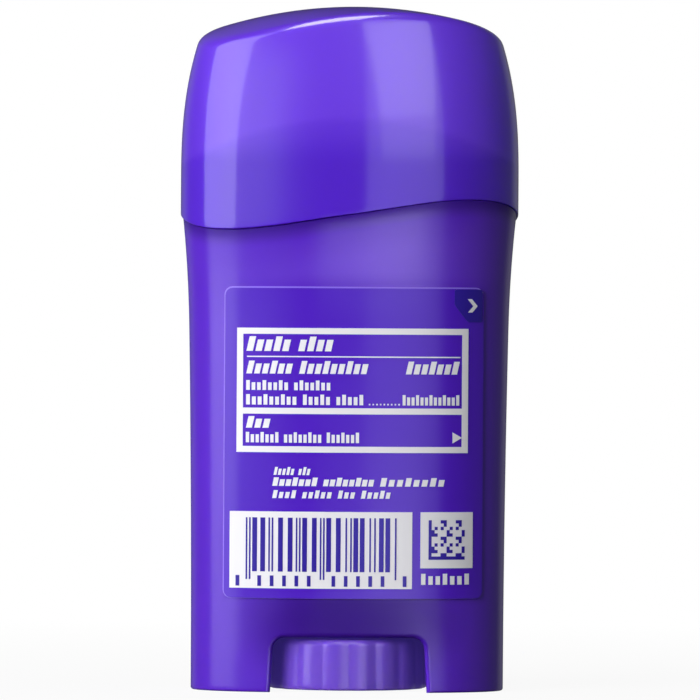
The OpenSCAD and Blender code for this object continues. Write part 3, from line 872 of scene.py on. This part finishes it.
# %% [markdown]
# ## The print
# A label like this is printed in two inks. It could be a picture laid on the film, but
# then its edges would blur in a close view, so every mark is a field of ink of its own.
# White makes a frame, two panels and rows of small blocks, which have the height and
# weight of small print. Navy makes bars and squares on the panels, from a simple rule,
# and the corner by which the top ply is peeled.

# %% Frame and panels
frame_x = (label_left + 2.2, label_right - 2.6)
frame_z = (39.4, 59.8)
frame_split = 46.7
line = 1.0
panel_x = (label_left + 1.2, label_left + 30.8)
panel_z = (17.1, 29.7)
code_x = (label_left + 32.15, label_right - 1.7)
code_z = (20.5, 29.7)

white = bmesh.new()
for z in (frame_z[0], frame_split - line, frame_z[1] - line):
    lay(white, *frame_x, z, z + line, ink_lift, ink_t)
for x in (frame_x[0], frame_x[1] - line):
    lay(white, x, x + line, frame_z[0] + line, frame_split - line, ink_lift, ink_t)
    lay(white, x, x + line, frame_split, frame_z[1] - line, ink_lift, ink_t)
lay(white, *panel_x, *panel_z, ink_lift, ink_t)
lay(white, *code_x, *code_z, ink_lift, ink_t)
print("Frame and panels have", len(white.faces), "faces")


# %% Rows of small blocks
group_gap = 0.8
low_block = 0.78
italic = 0.22
small_italic = 0.2
bold = 0.72


def block_line(ink, x0, x1, z0, z1, groups, slant=0.0, lift=ink_lift, fill=0.66):
    """A row of small blocks in groups. Every third block has the row's full height."""
    count = sum(groups) + group_gap * (len(groups) - 1)
    step = (x1 - x0) / count
    x = x0
    mark = 0
    for blocks in groups:
        for k in range(blocks):
            tall = z1 if mark % 3 == 0 else z0 + low_block * (z1 - z0)
            lay(ink, x, x + fill * step, z0, tall, lift, ink_t, slant=slant)
            x += step
            mark += 1
        x += group_gap * step


# Each row has its left and right end, its foot and its top in millimetres, and then how
# many blocks each of its groups has.
block_line(white, -16.9, -2.8, 56.0, 58.4, [5, 4], slant=italic, fill=bold)
lay(white, -16.8, 17.9, 55.0, 55.2, ink_lift, ink_t)
block_line(white, -16.9, 2.9, 52.3, 54.4, [6, 9], slant=italic, fill=bold)
block_line(white, 9.0, 17.7, 52.3, 54.4, [7], slant=italic, fill=bold)
block_line(white, -16.9, -3.0, 49.6, 51.2, [8, 7])
block_line(white, -16.9, 2.4, 47.2, 48.9, [9, 5, 5])
for k in range(9):
    lay(white, 3.0 + 0.6 * k, 3.25 + 0.6 * k, 47.2, 47.45, ink_lift, ink_t)
block_line(white, 8.5, 18.0, 47.2, 48.9, [13])
block_line(white, -16.9, -12.9, 43.4, 45.3, [3], slant=italic, fill=bold)
block_line(white, -16.9, 1.7, 41.0, 42.7, [7, 8, 7])
block_line(white, -12.4, -6.4, 35.7, 37.0, [5, 3], slant=small_italic)
block_line(white, -12.6, 4.0, 33.9, 35.3, [7, 8], slant=small_italic, fill=0.76)
block_line(white, 4.9, 15.7, 33.9, 35.3, [8], slant=small_italic)
block_line(white, -12.6, 6.8, 31.9, 33.2, [4, 5, 3, 5], slant=small_italic)
block_line(white, 11.7, 20.0, 17.8, 19.6, [7], fill=0.6)
# A small wedge that points to the right.
lay(white, 16.7, 18.2, 41.0, 42.8, ink_lift, ink_t, narrow=0.97)
print("White print has", len(white.faces), "faces")

film_piece("label_print_marks", white, ["label_print_white"])

# %% Bars on the white panel
over_lift = ink_lift + ink_t + 0.01
over_t = 0.03
codes = bmesh.new()
bars_x = (-16.8, 7.9)
bars_low = 19.85
bars_top = 28.7
modules = 95
module = (bars_x[1] - bars_x[0]) / modules
place = 0
count = 0
while place < modules:
    wide = 1 + (count * count + 3 * count) % 4 % 3
    gap = 1 + (5 * count + count // 3) % 3
    guard = place < 3 or place > modules - 5 or 45 < place < 50
    wide = 1 if guard else wide
    low = bars_low - 1.3 if guard else bars_low
    x = bars_x[0] + place * module
    lay(codes, x, min(x + wide * module, bars_x[1]), low, bars_top, over_lift, over_t)
    place += wide + (1 if guard else gap)
    count += 1
# Short marks under the bars: the left and right end of each group, and how many it has.
for x0, x1, marks in ((-15.6, -5.6, 5), (-3.6, 6.4, 5), (-19.1, -17.1, 1), (8.0, 10.0, 1)):
    step = (x1 - x0) / marks
    for k in range(marks):
        lay(codes, x0 + (k + 0.35) * step, x0 + (k + 0.65) * step, 17.45, 19.2, over_lift, over_t)
print("The bar panel holds", count, "bars")

# %% Squares on the white panel
cells = 12
code_w = 5.9
code_left = (code_x[0] + code_x[1] - code_w) / 2
code_low = 21.9
cell = code_w / cells
for row in range(cells):
    for column in range(cells):
        dark = row == 0 or column == 0 or (row * column + 2 * row + column * column) % 5 in (0, 2)
        if dark:
            x = code_left + column * cell
            z = code_low + row * cell * 1.1
            lay(codes, x, x + cell, z, z + cell * 1.1, over_lift, over_t)
film_piece("label_code_marks", codes)

# %% Peel corner
peel_w = 4.55
peel_h = 5.35
peel_inset = 0.35
arrow_in = 2.2
arrow_w = 0.7
arrow_h = 1.1
peel_x = label_right - peel_inset - peel_w
peel_z = label_top - peel_inset - peel_h
peel = bmesh.new()
lay(peel, peel_x, peel_x + peel_w, peel_z, peel_z + peel_h, ink_lift, ink_t, 0.3,
    cell=0.3, cut=(2.2, 2.8))
film_piece("label_peel_corner", peel, ["label_print_corner"])
arrow = bmesh.new()
for z, lean in ((peel_z + 1.6, 0.8), (peel_z + 1.6 + arrow_h, -0.8)):
    x = peel_x + arrow_in + max(0, -lean)
    lay(arrow, x, x + arrow_w, z, z + arrow_h, over_lift, over_t, slant=lean)
film_piece("label_peel_arrow", arrow)

# %% [markdown]
# ## Colours and nodes
# Colours are written as the sRGB hex values of a paint program, and one function turns
# them to the linear values that shaders work in. One more function adds a node with its
# settings and its links, which keeps each material short. The last one gives a noise its
# scale from the size in millimetres that its features have on the real piece.

# %% Colour and node helpers
def colour(code):
    """An sRGB hex colour as linear values."""
    parts = [int(code[k:k + 2], 16) / 255 for k in (1, 3, 5)]
    return [p / 12.92 if p <= 0.04045 else ((p + 0.055) / 1.055) ** 2.4 for p in parts] + [1]


def add_node(tree, kind, settings=(), links=()):
    """Adds a node, sets its properties or sockets, and links its inputs."""
    made = tree.nodes.new(kind)
    for key, value in dict(settings).items():
        if isinstance(key, str) and hasattr(made, key):
            setattr(made, key, value)
        else:
            made.inputs[key].default_value = value
    for key, source in dict(links).items():
        tree.links.new(source, made.inputs[key])
    return made


def new_material(name):
    """A material with an empty node tree, and that tree."""
    made = bpy.data.materials.new(name)
    made.use_nodes = True
    made.node_tree.nodes.clear()
    return made, made.node_tree


def dress(material, *objects):
    """Gives whole pieces one material."""
    for made in objects:
        made.data.materials.clear()
        made.data.materials.append(material)
        print(material.name, "dresses", made.name)


def pattern_scale(size):
    """The scale at which a noise on Object coordinates has features of a size in mm."""
    return 1 / (size * MM)


print("The dye's hex value as linear colour:", [round(c, 3) for c in colour("#5E1BE6")[:3]])


# %% [markdown]
# ## The cap's plastic
# Such packs are moulded from polypropylene. The cap is a dyed grade that lets part of the
# light through, from a polished mould. It could be tinted glass, but then all that stands
# inside would show sharp, and in the photograph only a soft line of it does. So most of
# the light turns back in the wall and the rest passes, and the light that comes through the
# crown is painted: a backlit violet and a shaded violet are mixed by the value that says
# how much light comes through the crown. A clear coat stands for the polished face,
# because it mirrors the lamps and leaves the dye under it its colour.

# %% Polished cap
# The first violet is painted shade, where the seal and neck stand behind the wall. The second is
# painted light, where light comes through the empty crown.
cap_shaded_violet = "#5E1BE6"
cap_backlit_violet = "#7C40FA"
ripple_mm = 16.7

# Dyed polypropylene, moulded against polished steel. To the eye it is a deep, clean violet
# with a wet gloss. The long ripple is how a thin wall sinks as it cools, and it makes the
# edges of the mirrored bands waver a little.
cap_polish, tree = new_material("polypropylene_dyed_moulded_polished")
place_on = add_node(tree, "ShaderNodeTexCoord")
ripple = add_node(tree, "ShaderNodeTexNoise", {"Scale": pattern_scale(ripple_mm), "Detail": 2.0},
                  {"Vector": place_on.outputs["Object"]})
bump = add_node(tree, "ShaderNodeBump", {"Strength": 0.06, "Distance": 0.3 * MM},
                {"Height": ripple.outputs["Fac"]})
# Painted light and shade in the base colour: the mesh value mixes the shaded and the backlit
# violet.
through = add_node(tree, "ShaderNodeAttribute", {"attribute_name": "light_through"})
dye_and_painted_light = add_node(tree, "ShaderNodeMix", {"data_type": "RGBA"}, {"Factor": through.outputs["Fac"]})
dye_and_painted_light.inputs[6].default_value = colour(cap_shaded_violet)
dye_and_painted_light.inputs[7].default_value = colour(cap_backlit_violet)
surface = add_node(tree, "ShaderNodeBsdfPrincipled",
                   {"Roughness": 0.3, "IOR": 1.49,
                    "Specular IOR Level": 0.1, "Transmission Weight": 0.3,
                    "Coat Weight": 0.85, "Coat Roughness": 0.1},
                   {"Base Color": dye_and_painted_light.outputs[2], "Normal": bump.outputs["Normal"]})
add_node(tree, "ShaderNodeOutputMaterial", {}, {"Surface": surface.outputs["BSDF"]})
dress(cap_polish, overcap)

# %% [markdown]
# ## The plastic of barrel and wheel
# The barrel is the same dye in a milky grade: light goes in, spreads in the wall and comes
# out again. Its violet is painted deeper where shade falls on the wall and paler where a
# sheen lies on it, by the value on its mesh. Its mould was blasted with grit, which leaves
# a fine satin. A flat violet would look like paint, so part of the light is scattered under
# the face, and a slow cloud shifts the violet a little. The wheel is moulded in a paler
# violet. It stands in a hollow that light reaches through the milky walls round it, and
# a faint painted glow of its own stands for that light, because it would take the render
# very long to find it.

# %% Satin violet
# Painted sheen: the paler violet over the middle above the label.
painted_sheen_shade = "#7242E0"
# Colour of the wheel's painted glow, which stands for light reaching it through the walls round it.
painted_glow_shade = "#8060FC"
cloud_mm = 28.6
# Real grit from such a mould is about 0.05 mm across. A pixel of the picture is 0.17 mm
# wide, so the grit is drawn coarser, at 0.4 mm, to show as satin at all.
grit_mm = 0.4


def satin_violet(name, shade, deep, rough, milky, painted_glow):
    """Milky dyed polypropylene with a fine satin. Shade is its violet, and deep its violet of
    painted shade where the mesh value is above zero; below zero a paler violet of painted
    sheen is mixed in. Milky is the share of light that spreads under its face, and
    painted_glow is a painted glow that stands for light that reaches it through other walls."""
    made, tree = new_material(name)
    place_on = add_node(tree, "ShaderNodeTexCoord")
    cloud = add_node(tree, "ShaderNodeTexNoise", {"Scale": pattern_scale(cloud_mm), "Detail": 2.0},
                     {"Vector": place_on.outputs["Object"]})
    milk = add_node(tree, "ShaderNodeMix", {"data_type": "RGBA", "Factor": 0.5},
                    {"Factor": cloud.outputs["Fac"]})
    milk.inputs[6].default_value = colour(shade)
    milk.inputs[7].default_value = [min(1, 1.12 * c) for c in colour(shade)[:3]] + [1]
    # Above zero the mesh value mixes in the deep violet as painted shade, and below zero the
    # paler one as painted sheen.
    painted_shade = add_node(tree, "ShaderNodeAttribute", {"attribute_name": "painted_shade_and_sheen"})
    wall = add_node(tree, "ShaderNodeMix", {"data_type": "RGBA"},
                    {"Factor": painted_shade.outputs["Fac"], 6: milk.outputs[2]})
    wall.inputs[7].default_value = colour(deep)
    less = add_node(tree, "ShaderNodeMath", {"operation": "MULTIPLY", 1: -1.0},
                    {0: painted_shade.outputs["Fac"]})
    painted_sheen = add_node(tree, "ShaderNodeMix", {"data_type": "RGBA"},
                    {"Factor": less.outputs["Value"], 6: wall.outputs[2]})
    painted_sheen.inputs[7].default_value = colour(painted_sheen_shade)
    grit = add_node(tree, "ShaderNodeTexNoise", {"Scale": pattern_scale(grit_mm), "Detail": 2.0},
                    {"Vector": place_on.outputs["Object"]})
    bump = add_node(tree, "ShaderNodeBump", {"Strength": 0.08, "Distance": 0.1 * MM},
                    {"Height": grit.outputs["Fac"]})
    # Where shade is painted, the wall is shaded by the cap's lip or by the wheel, so it mirrors
    # less.
    shine = add_node(tree, "ShaderNodeMapRange", {"From Min": 0.4, "To Min": 0.5, "To Max": 0.12},
                     {"Value": painted_shade.outputs["Fac"]})
    surface = add_node(tree, "ShaderNodeBsdfPrincipled",
                       {"Roughness": rough, "IOR": 1.49, "Subsurface Weight": milky,
                        "Subsurface Scale": 2 * MM, "Subsurface Radius": (0.8, 0.5, 1.0),
                        "Emission Color": colour(painted_glow_shade), "Emission Strength": painted_glow},
                       {"Base Color": painted_sheen.outputs[2], "Normal": bump.outputs["Normal"],
                        "Specular IOR Level": shine.outputs["Result"]})
    add_node(tree, "ShaderNodeOutputMaterial", {}, {"Surface": surface.outputs["BSDF"]})
    return made


print("Scale of the cloud and of the grit:",
      round(pattern_scale(cloud_mm)), round(pattern_scale(grit_mm)))

# %% Barrel and wheel
# Milky polypropylene from a blasted mould. To the eye it is a soft violet, a little cloudy,
# whose highlights are broad and have no sharp edge.
# The deep violet is painted shade, on the step under the seam and round the wheel's hollow.
barrel_satin = satin_violet("polypropylene_milky_violet_satin", "#5922C8", "#3C1690",
                            0.22, 0.3, 0.0)
# The same plastic with less dye in a thicker part. To the eye it is paler and more waxy, so
# that its lobes show as soft light and dark bars.
# The last value is the strength of the wheel's painted glow.
wheel_satin = satin_violet("polypropylene_violet_wheel_satin", "#724EC8", "#724EC8",
                           0.25, 0.8, 0.09)
dress(barrel_satin, barrel)
dress(wheel_satin, wheel)

# %% [markdown]
# ## Stick, seal and carrier
# The stick is a cast mix of wax and oil, dull and a little grainy. Seal and carrier are
# polypropylene without a dye, straight from a plain mould. Both are pale and let light
# in a little way, so one function makes both, with a grain of its own size for each. None
# of it shows in the photograph, so the values are those usual for such materials.

# %% White materials
def soft_white(name, shade, rough, grain_mm, depth_mm):
    """A pale material with a soft grain, whose size and depth are in millimetres."""
    made, tree = new_material(name)
    place_on = add_node(tree, "ShaderNodeTexCoord")
    grain = add_node(tree, "ShaderNodeTexNoise", {"Scale": pattern_scale(grain_mm), "Detail": 3.0},
                     {"Vector": place_on.outputs["Object"]})
    bump = add_node(tree, "ShaderNodeBump", {"Strength": 0.3, "Distance": depth_mm * MM},
                    {"Height": grain.outputs["Fac"]})
    surface = add_node(tree, "ShaderNodeBsdfPrincipled",
                       {"Base Color": colour(shade), "Roughness": rough, "IOR": 1.46,
                        "Subsurface Weight": 0.2, "Subsurface Scale": 2 * MM},
                       {"Normal": bump.outputs["Normal"]})
    add_node(tree, "ShaderNodeOutputMaterial", {}, {"Surface": surface.outputs["BSDF"]})
    return made


# Wax stick, cast and cooled. To the eye it is a warm, chalky white with a dull face. Its
# crystals are finer than a pixel, so the grain is drawn at 1.5 mm.
wax = soft_white("stearate_stick_cast", "#F4F3F0", 0.55, 1.5, 0.05)
# Polypropylene without a dye, moulded. To the eye it is a cool, milky white with a sheen.
# The marks of its mould are drawn at 0.6 mm, coarser than they are, to show at all.
natural = soft_white("polypropylene_natural_moulded", "#E9E6F0", 0.35, 0.6, 0.01)
dress(wax, stick)
dress(natural, seal, frame["nodes"]["elevator"])

# %% [markdown]
# ## Label film and inks
# The label is polypropylene film, printed violet all over, with a gloss. Its lower ply
# shows only as a pale line where the film is cut, a painted highlight: that ply is given a
# paler violet than the film over it. The glue under a film is never quite even, and its
# faint waves break up what the film mirrors, so a noise bends the film's face a little.
# White and navy inks lie on the film and follow the same waves, so one function makes all
# four, and they differ in colour and gloss.

# %% Label film and ink materials
glue_wave_mm = 8.33


def gloss_film(name, shade, rough, waves):
    """A film or an ink on it, with the faint waves of the glue under it."""
    made, tree = new_material(name)
    place_on = add_node(tree, "ShaderNodeTexCoord")
    wave = add_node(tree, "ShaderNodeTexNoise",
                    {"Scale": pattern_scale(glue_wave_mm), "Detail": 1.0},
                    {"Vector": place_on.outputs["Object"]})
    bump = add_node(tree, "ShaderNodeBump", {"Strength": waves, "Distance": 0.2 * MM},
                    {"Height": wave.outputs["Fac"]})
    surface = add_node(tree, "ShaderNodeBsdfPrincipled",
                       {"Base Color": colour(shade), "Roughness": rough, "IOR": 1.5,
                        "Specular IOR Level": 0.38},
                       {"Normal": bump.outputs["Normal"]})
    add_node(tree, "ShaderNodeOutputMaterial", {}, {"Surface": surface.outputs["BSDF"]})
    return made


# Printed film: an even, saturated violet with more gloss than the satin wall beside it.
label_film = gloss_film("polypropylene_film_printed_violet", "#5018CA", 0.2, 0.1)
# Cut film: its paler violet is a painted highlight, which draws a pale line round the label.
film_edge_highlight = gloss_film("polypropylene_film_edge_painted_highlight", "#8F70E6", 0.3, 0.1)
# White ink, printed: it covers the violet and is duller than the film, like thin paint.
white_ink = gloss_film("ink_white_on_film", "#F2F1F7", 0.4, 0.1)
# Navy ink, printed: a deep blue violet that lets a little of the ground through.
navy_ink = gloss_film("ink_navy_on_film", "#2A0FA0", 0.3, 0.1)
shown = bpy.data.objects
dress(film_edge_highlight, under_film)
dress(label_film, top_film)
dress(white_ink, shown["label_print_marks"], shown["label_peel_arrow"])
dress(navy_ink, shown["label_code_marks"], shown["label_peel_corner"])

# %% [markdown]
# ## Lamps
# A soft key lamp on the left, a little above, makes the shading: the pack is light on its
# left and falls off to a deep violet on its right. A weak fill keeps the front from going
# flat dark. Both only shade. The clean bands on the polished plastic are mirrored lamps,
# and each stands where its band lies on the curved front: a tall strip well to the left
# and another just right of the camera, with two shorter ones over it that make the band
# brighter toward the crown. One high lamp gives the glint on the crown's ridge, and a low
# card lights the collar's curve. These six are only mirrored, so that the bands can be
# matched and the shading stays as it is.

# %% Lamps
pack_middle = Vector((0, 0, 60)) * MM


def lamp(name, around, rise, wide, high, away, glow, shades=True, mirrored=True):
    """A soft box at an angle round the pack and above it, with the rays that see it. The
    angles are in degrees and the lengths in metres, and glow is how bright its face is."""
    made = bpy.data.objects.new(name, bpy.data.lights.new(name, "AREA"))
    bpy.context.scene.collection.objects.link(made)
    made.data.shape = "RECTANGLE"
    made.data.size = wide
    made.data.size_y = high
    made.data.energy = glow * math.pi * wide * high
    turn = math.radians(around)
    lift = math.radians(rise)
    made.location = pack_middle + away * Vector((
        math.sin(turn) * math.cos(lift), -math.cos(turn) * math.cos(lift), math.sin(lift)))
    made.rotation_euler = (pack_middle - made.location).to_track_quat("-Z", "Y").to_euler()
    made.visible_diffuse = shades
    made.visible_glossy = mirrored
    print(name, "gives", round(made.data.energy, 2), "watts")


lamp("key", -42, 15, 0.5, 0.5, 0.7, 6.6, mirrored=False)
lamp("front_fill", -24, 10, 0.9, 0.9, 1.0, 0.6, mirrored=False)
lamp("strip_left", -68, 24, 0.54, 0.95, 0.8, 3.0, shades=False)
lamp("strip_right", 21, 0, 0.46, 1.6, 0.8, 1.4, shades=False)
lamp("strip_high", 21, 31, 0.34, 0.5, 0.8, 1.3, shades=False)
lamp("strip_middle", 21, 28, 0.34, 0.68, 0.8, 1.2, shades=False)
lamp("crown_glint", -18, 69, 0.33, 0.34, 0.8, 12.0, shades=False)
lamp("low_card", 10, -9, 0.5, 0.08, 0.8, 3.0, shades=False)

# %% [markdown]
# ## World
# The photograph has a white ground, and white light all round would wash the violet out.
# So the world is white only for the rays that look straight at it, from the camera or
# through the dyed cap, and dim for all others. It is a little brighter far out to each
# side and above, and brightest behind the pack on each side, because the pack's edges mirror
# what is behind it, and in the photograph they are pale there.

# %% World
world = bpy.data.worlds.new("white_studio")
bpy.context.scene.world = world
world.use_nodes = True
sky = world.node_tree
sky.nodes.clear()
# White for the rays that look straight at it.
ray = add_node(sky, "ShaderNodeLightPath")
clear_view = add_node(sky, "ShaderNodeMath", {"operation": "MAXIMUM"},
                      {0: ray.outputs["Is Camera Ray"], 1: ray.outputs["Is Transmission Ray"]})
# Dim ahead and behind, and brighter far out to each side.
heading = add_node(sky, "ShaderNodeTexCoord")
split = add_node(sky, "ShaderNodeSeparateXYZ", {}, {"Vector": heading.outputs["Generated"]})
sideways = add_node(sky, "ShaderNodeMath", {"operation": "ABSOLUTE"},
                    {0: split.outputs["X"]})
walls = add_node(sky, "ShaderNodeMapRange",
                 {"From Min": 0.5, "From Max": 0.95, "To Min": 0.02, "To Max": 0.18},
                 {"Value": sideways.outputs["Value"]})
# A little brighter above than below.
above = add_node(sky, "ShaderNodeMapRange",
                 {"From Min": -0.1, "From Max": 0.7, "To Min": 0.01, "To Max": 0.06},
                 {"Value": split.outputs["Z"]})
sides = add_node(sky, "ShaderNodeMath", {"operation": "ADD"},
                 {0: walls.outputs["Result"], 1: above.outputs["Result"]})
# Brightest behind the pack, but less so straight behind it than to each side.
behind = add_node(sky, "ShaderNodeMapRange",
                  {"From Min": 0.5, "From Max": 0.8, "To Min": 0.0, "To Max": 0.42},
                  {"Value": split.outputs["Y"]})
beside = add_node(sky, "ShaderNodeMath", {"operation": "MULTIPLY"},
                  {0: behind.outputs["Result"], 1: sideways.outputs["Value"]})
room = add_node(sky, "ShaderNodeMath", {"operation": "ADD"},
                {0: sides.outputs["Value"], 1: beside.outputs["Value"]})
strength = add_node(sky, "ShaderNodeMath", {"operation": "MAXIMUM"},
                    {0: clear_view.outputs["Value"], 1: room.outputs["Value"]})
glow = add_node(sky, "ShaderNodeBackground", {"Color": (1, 1, 1, 1)},
                {"Strength": strength.outputs["Value"]})
add_node(sky, "ShaderNodeOutputWorld", {}, {"Surface": glow.outputs["Background"]})
print("World has", len(sky.nodes), "nodes")

# %% [markdown]
# ## Floor
# The pack stands on white paper that shows only as a soft shade round its foot. The paper
# is lit white for the camera and fades to the shade near the pack. It takes no part in the
# light on the pack, since a real sheet would fill the underside with white. From below it
# is see-through, so that the wheel and the floor of the barrel can be looked at.

# %% Floor
floor_mesh = bmesh.new()
bmesh.ops.create_grid(floor_mesh, x_segments=1, y_segments=1, size=3)
floor_data = bpy.data.meshes.new("floor")
floor_mesh.to_mesh(floor_data)
floor_mesh.free()
floor = bpy.data.objects.new("floor", floor_data)
bpy.context.scene.collection.objects.link(floor)
floor.visible_diffuse = False
floor.visible_glossy = False
floor.visible_transmission = False

# Matt white paper, uncoated. To the eye it is an even white with a soft shade by the pack.
paper, tree = new_material("white_paper_sweep")
ray = add_node(tree, "ShaderNodeLightPath")
sheet = add_node(tree, "ShaderNodeBsdfDiffuse", {"Color": colour("#F2F2F2")})
lit = add_node(tree, "ShaderNodeEmission", {"Color": (1, 1, 1, 1), "Strength": 1.0})
place_on = add_node(tree, "ShaderNodeTexCoord")
away = add_node(tree, "ShaderNodeVectorMath", {"operation": "LENGTH"},
                {0: place_on.outputs["Object"]})
fade = add_node(tree, "ShaderNodeMapRange",
                {"From Min": 0.04, "From Max": 0.3, "To Min": 0.93, "To Max": 1.0},
                {"Value": away.outputs["Value"]})
share = add_node(tree, "ShaderNodeMath", {"operation": "MULTIPLY"},
                 {0: ray.outputs["Is Camera Ray"], 1: fade.outputs["Result"]})
mixed = add_node(tree, "ShaderNodeMixShader", {},
                 {0: share.outputs["Value"], 1: sheet.outputs["BSDF"], 2: lit.outputs["Emission"]})
side = add_node(tree, "ShaderNodeNewGeometry")
from_below = add_node(tree, "ShaderNodeBsdfTransparent")
both = add_node(tree, "ShaderNodeMixShader", {},
                {0: side.outputs["Backfacing"], 1: mixed.outputs["Shader"],
                 2: from_below.outputs["BSDF"]})
add_node(tree, "ShaderNodeOutputMaterial", {}, {"Surface": both.outputs["Shader"]})
dress(paper, floor)
bpy.context.scene.view_settings.view_transform = "Standard"
print("Floor is", round(floor.dimensions.x, 1), "m wide")
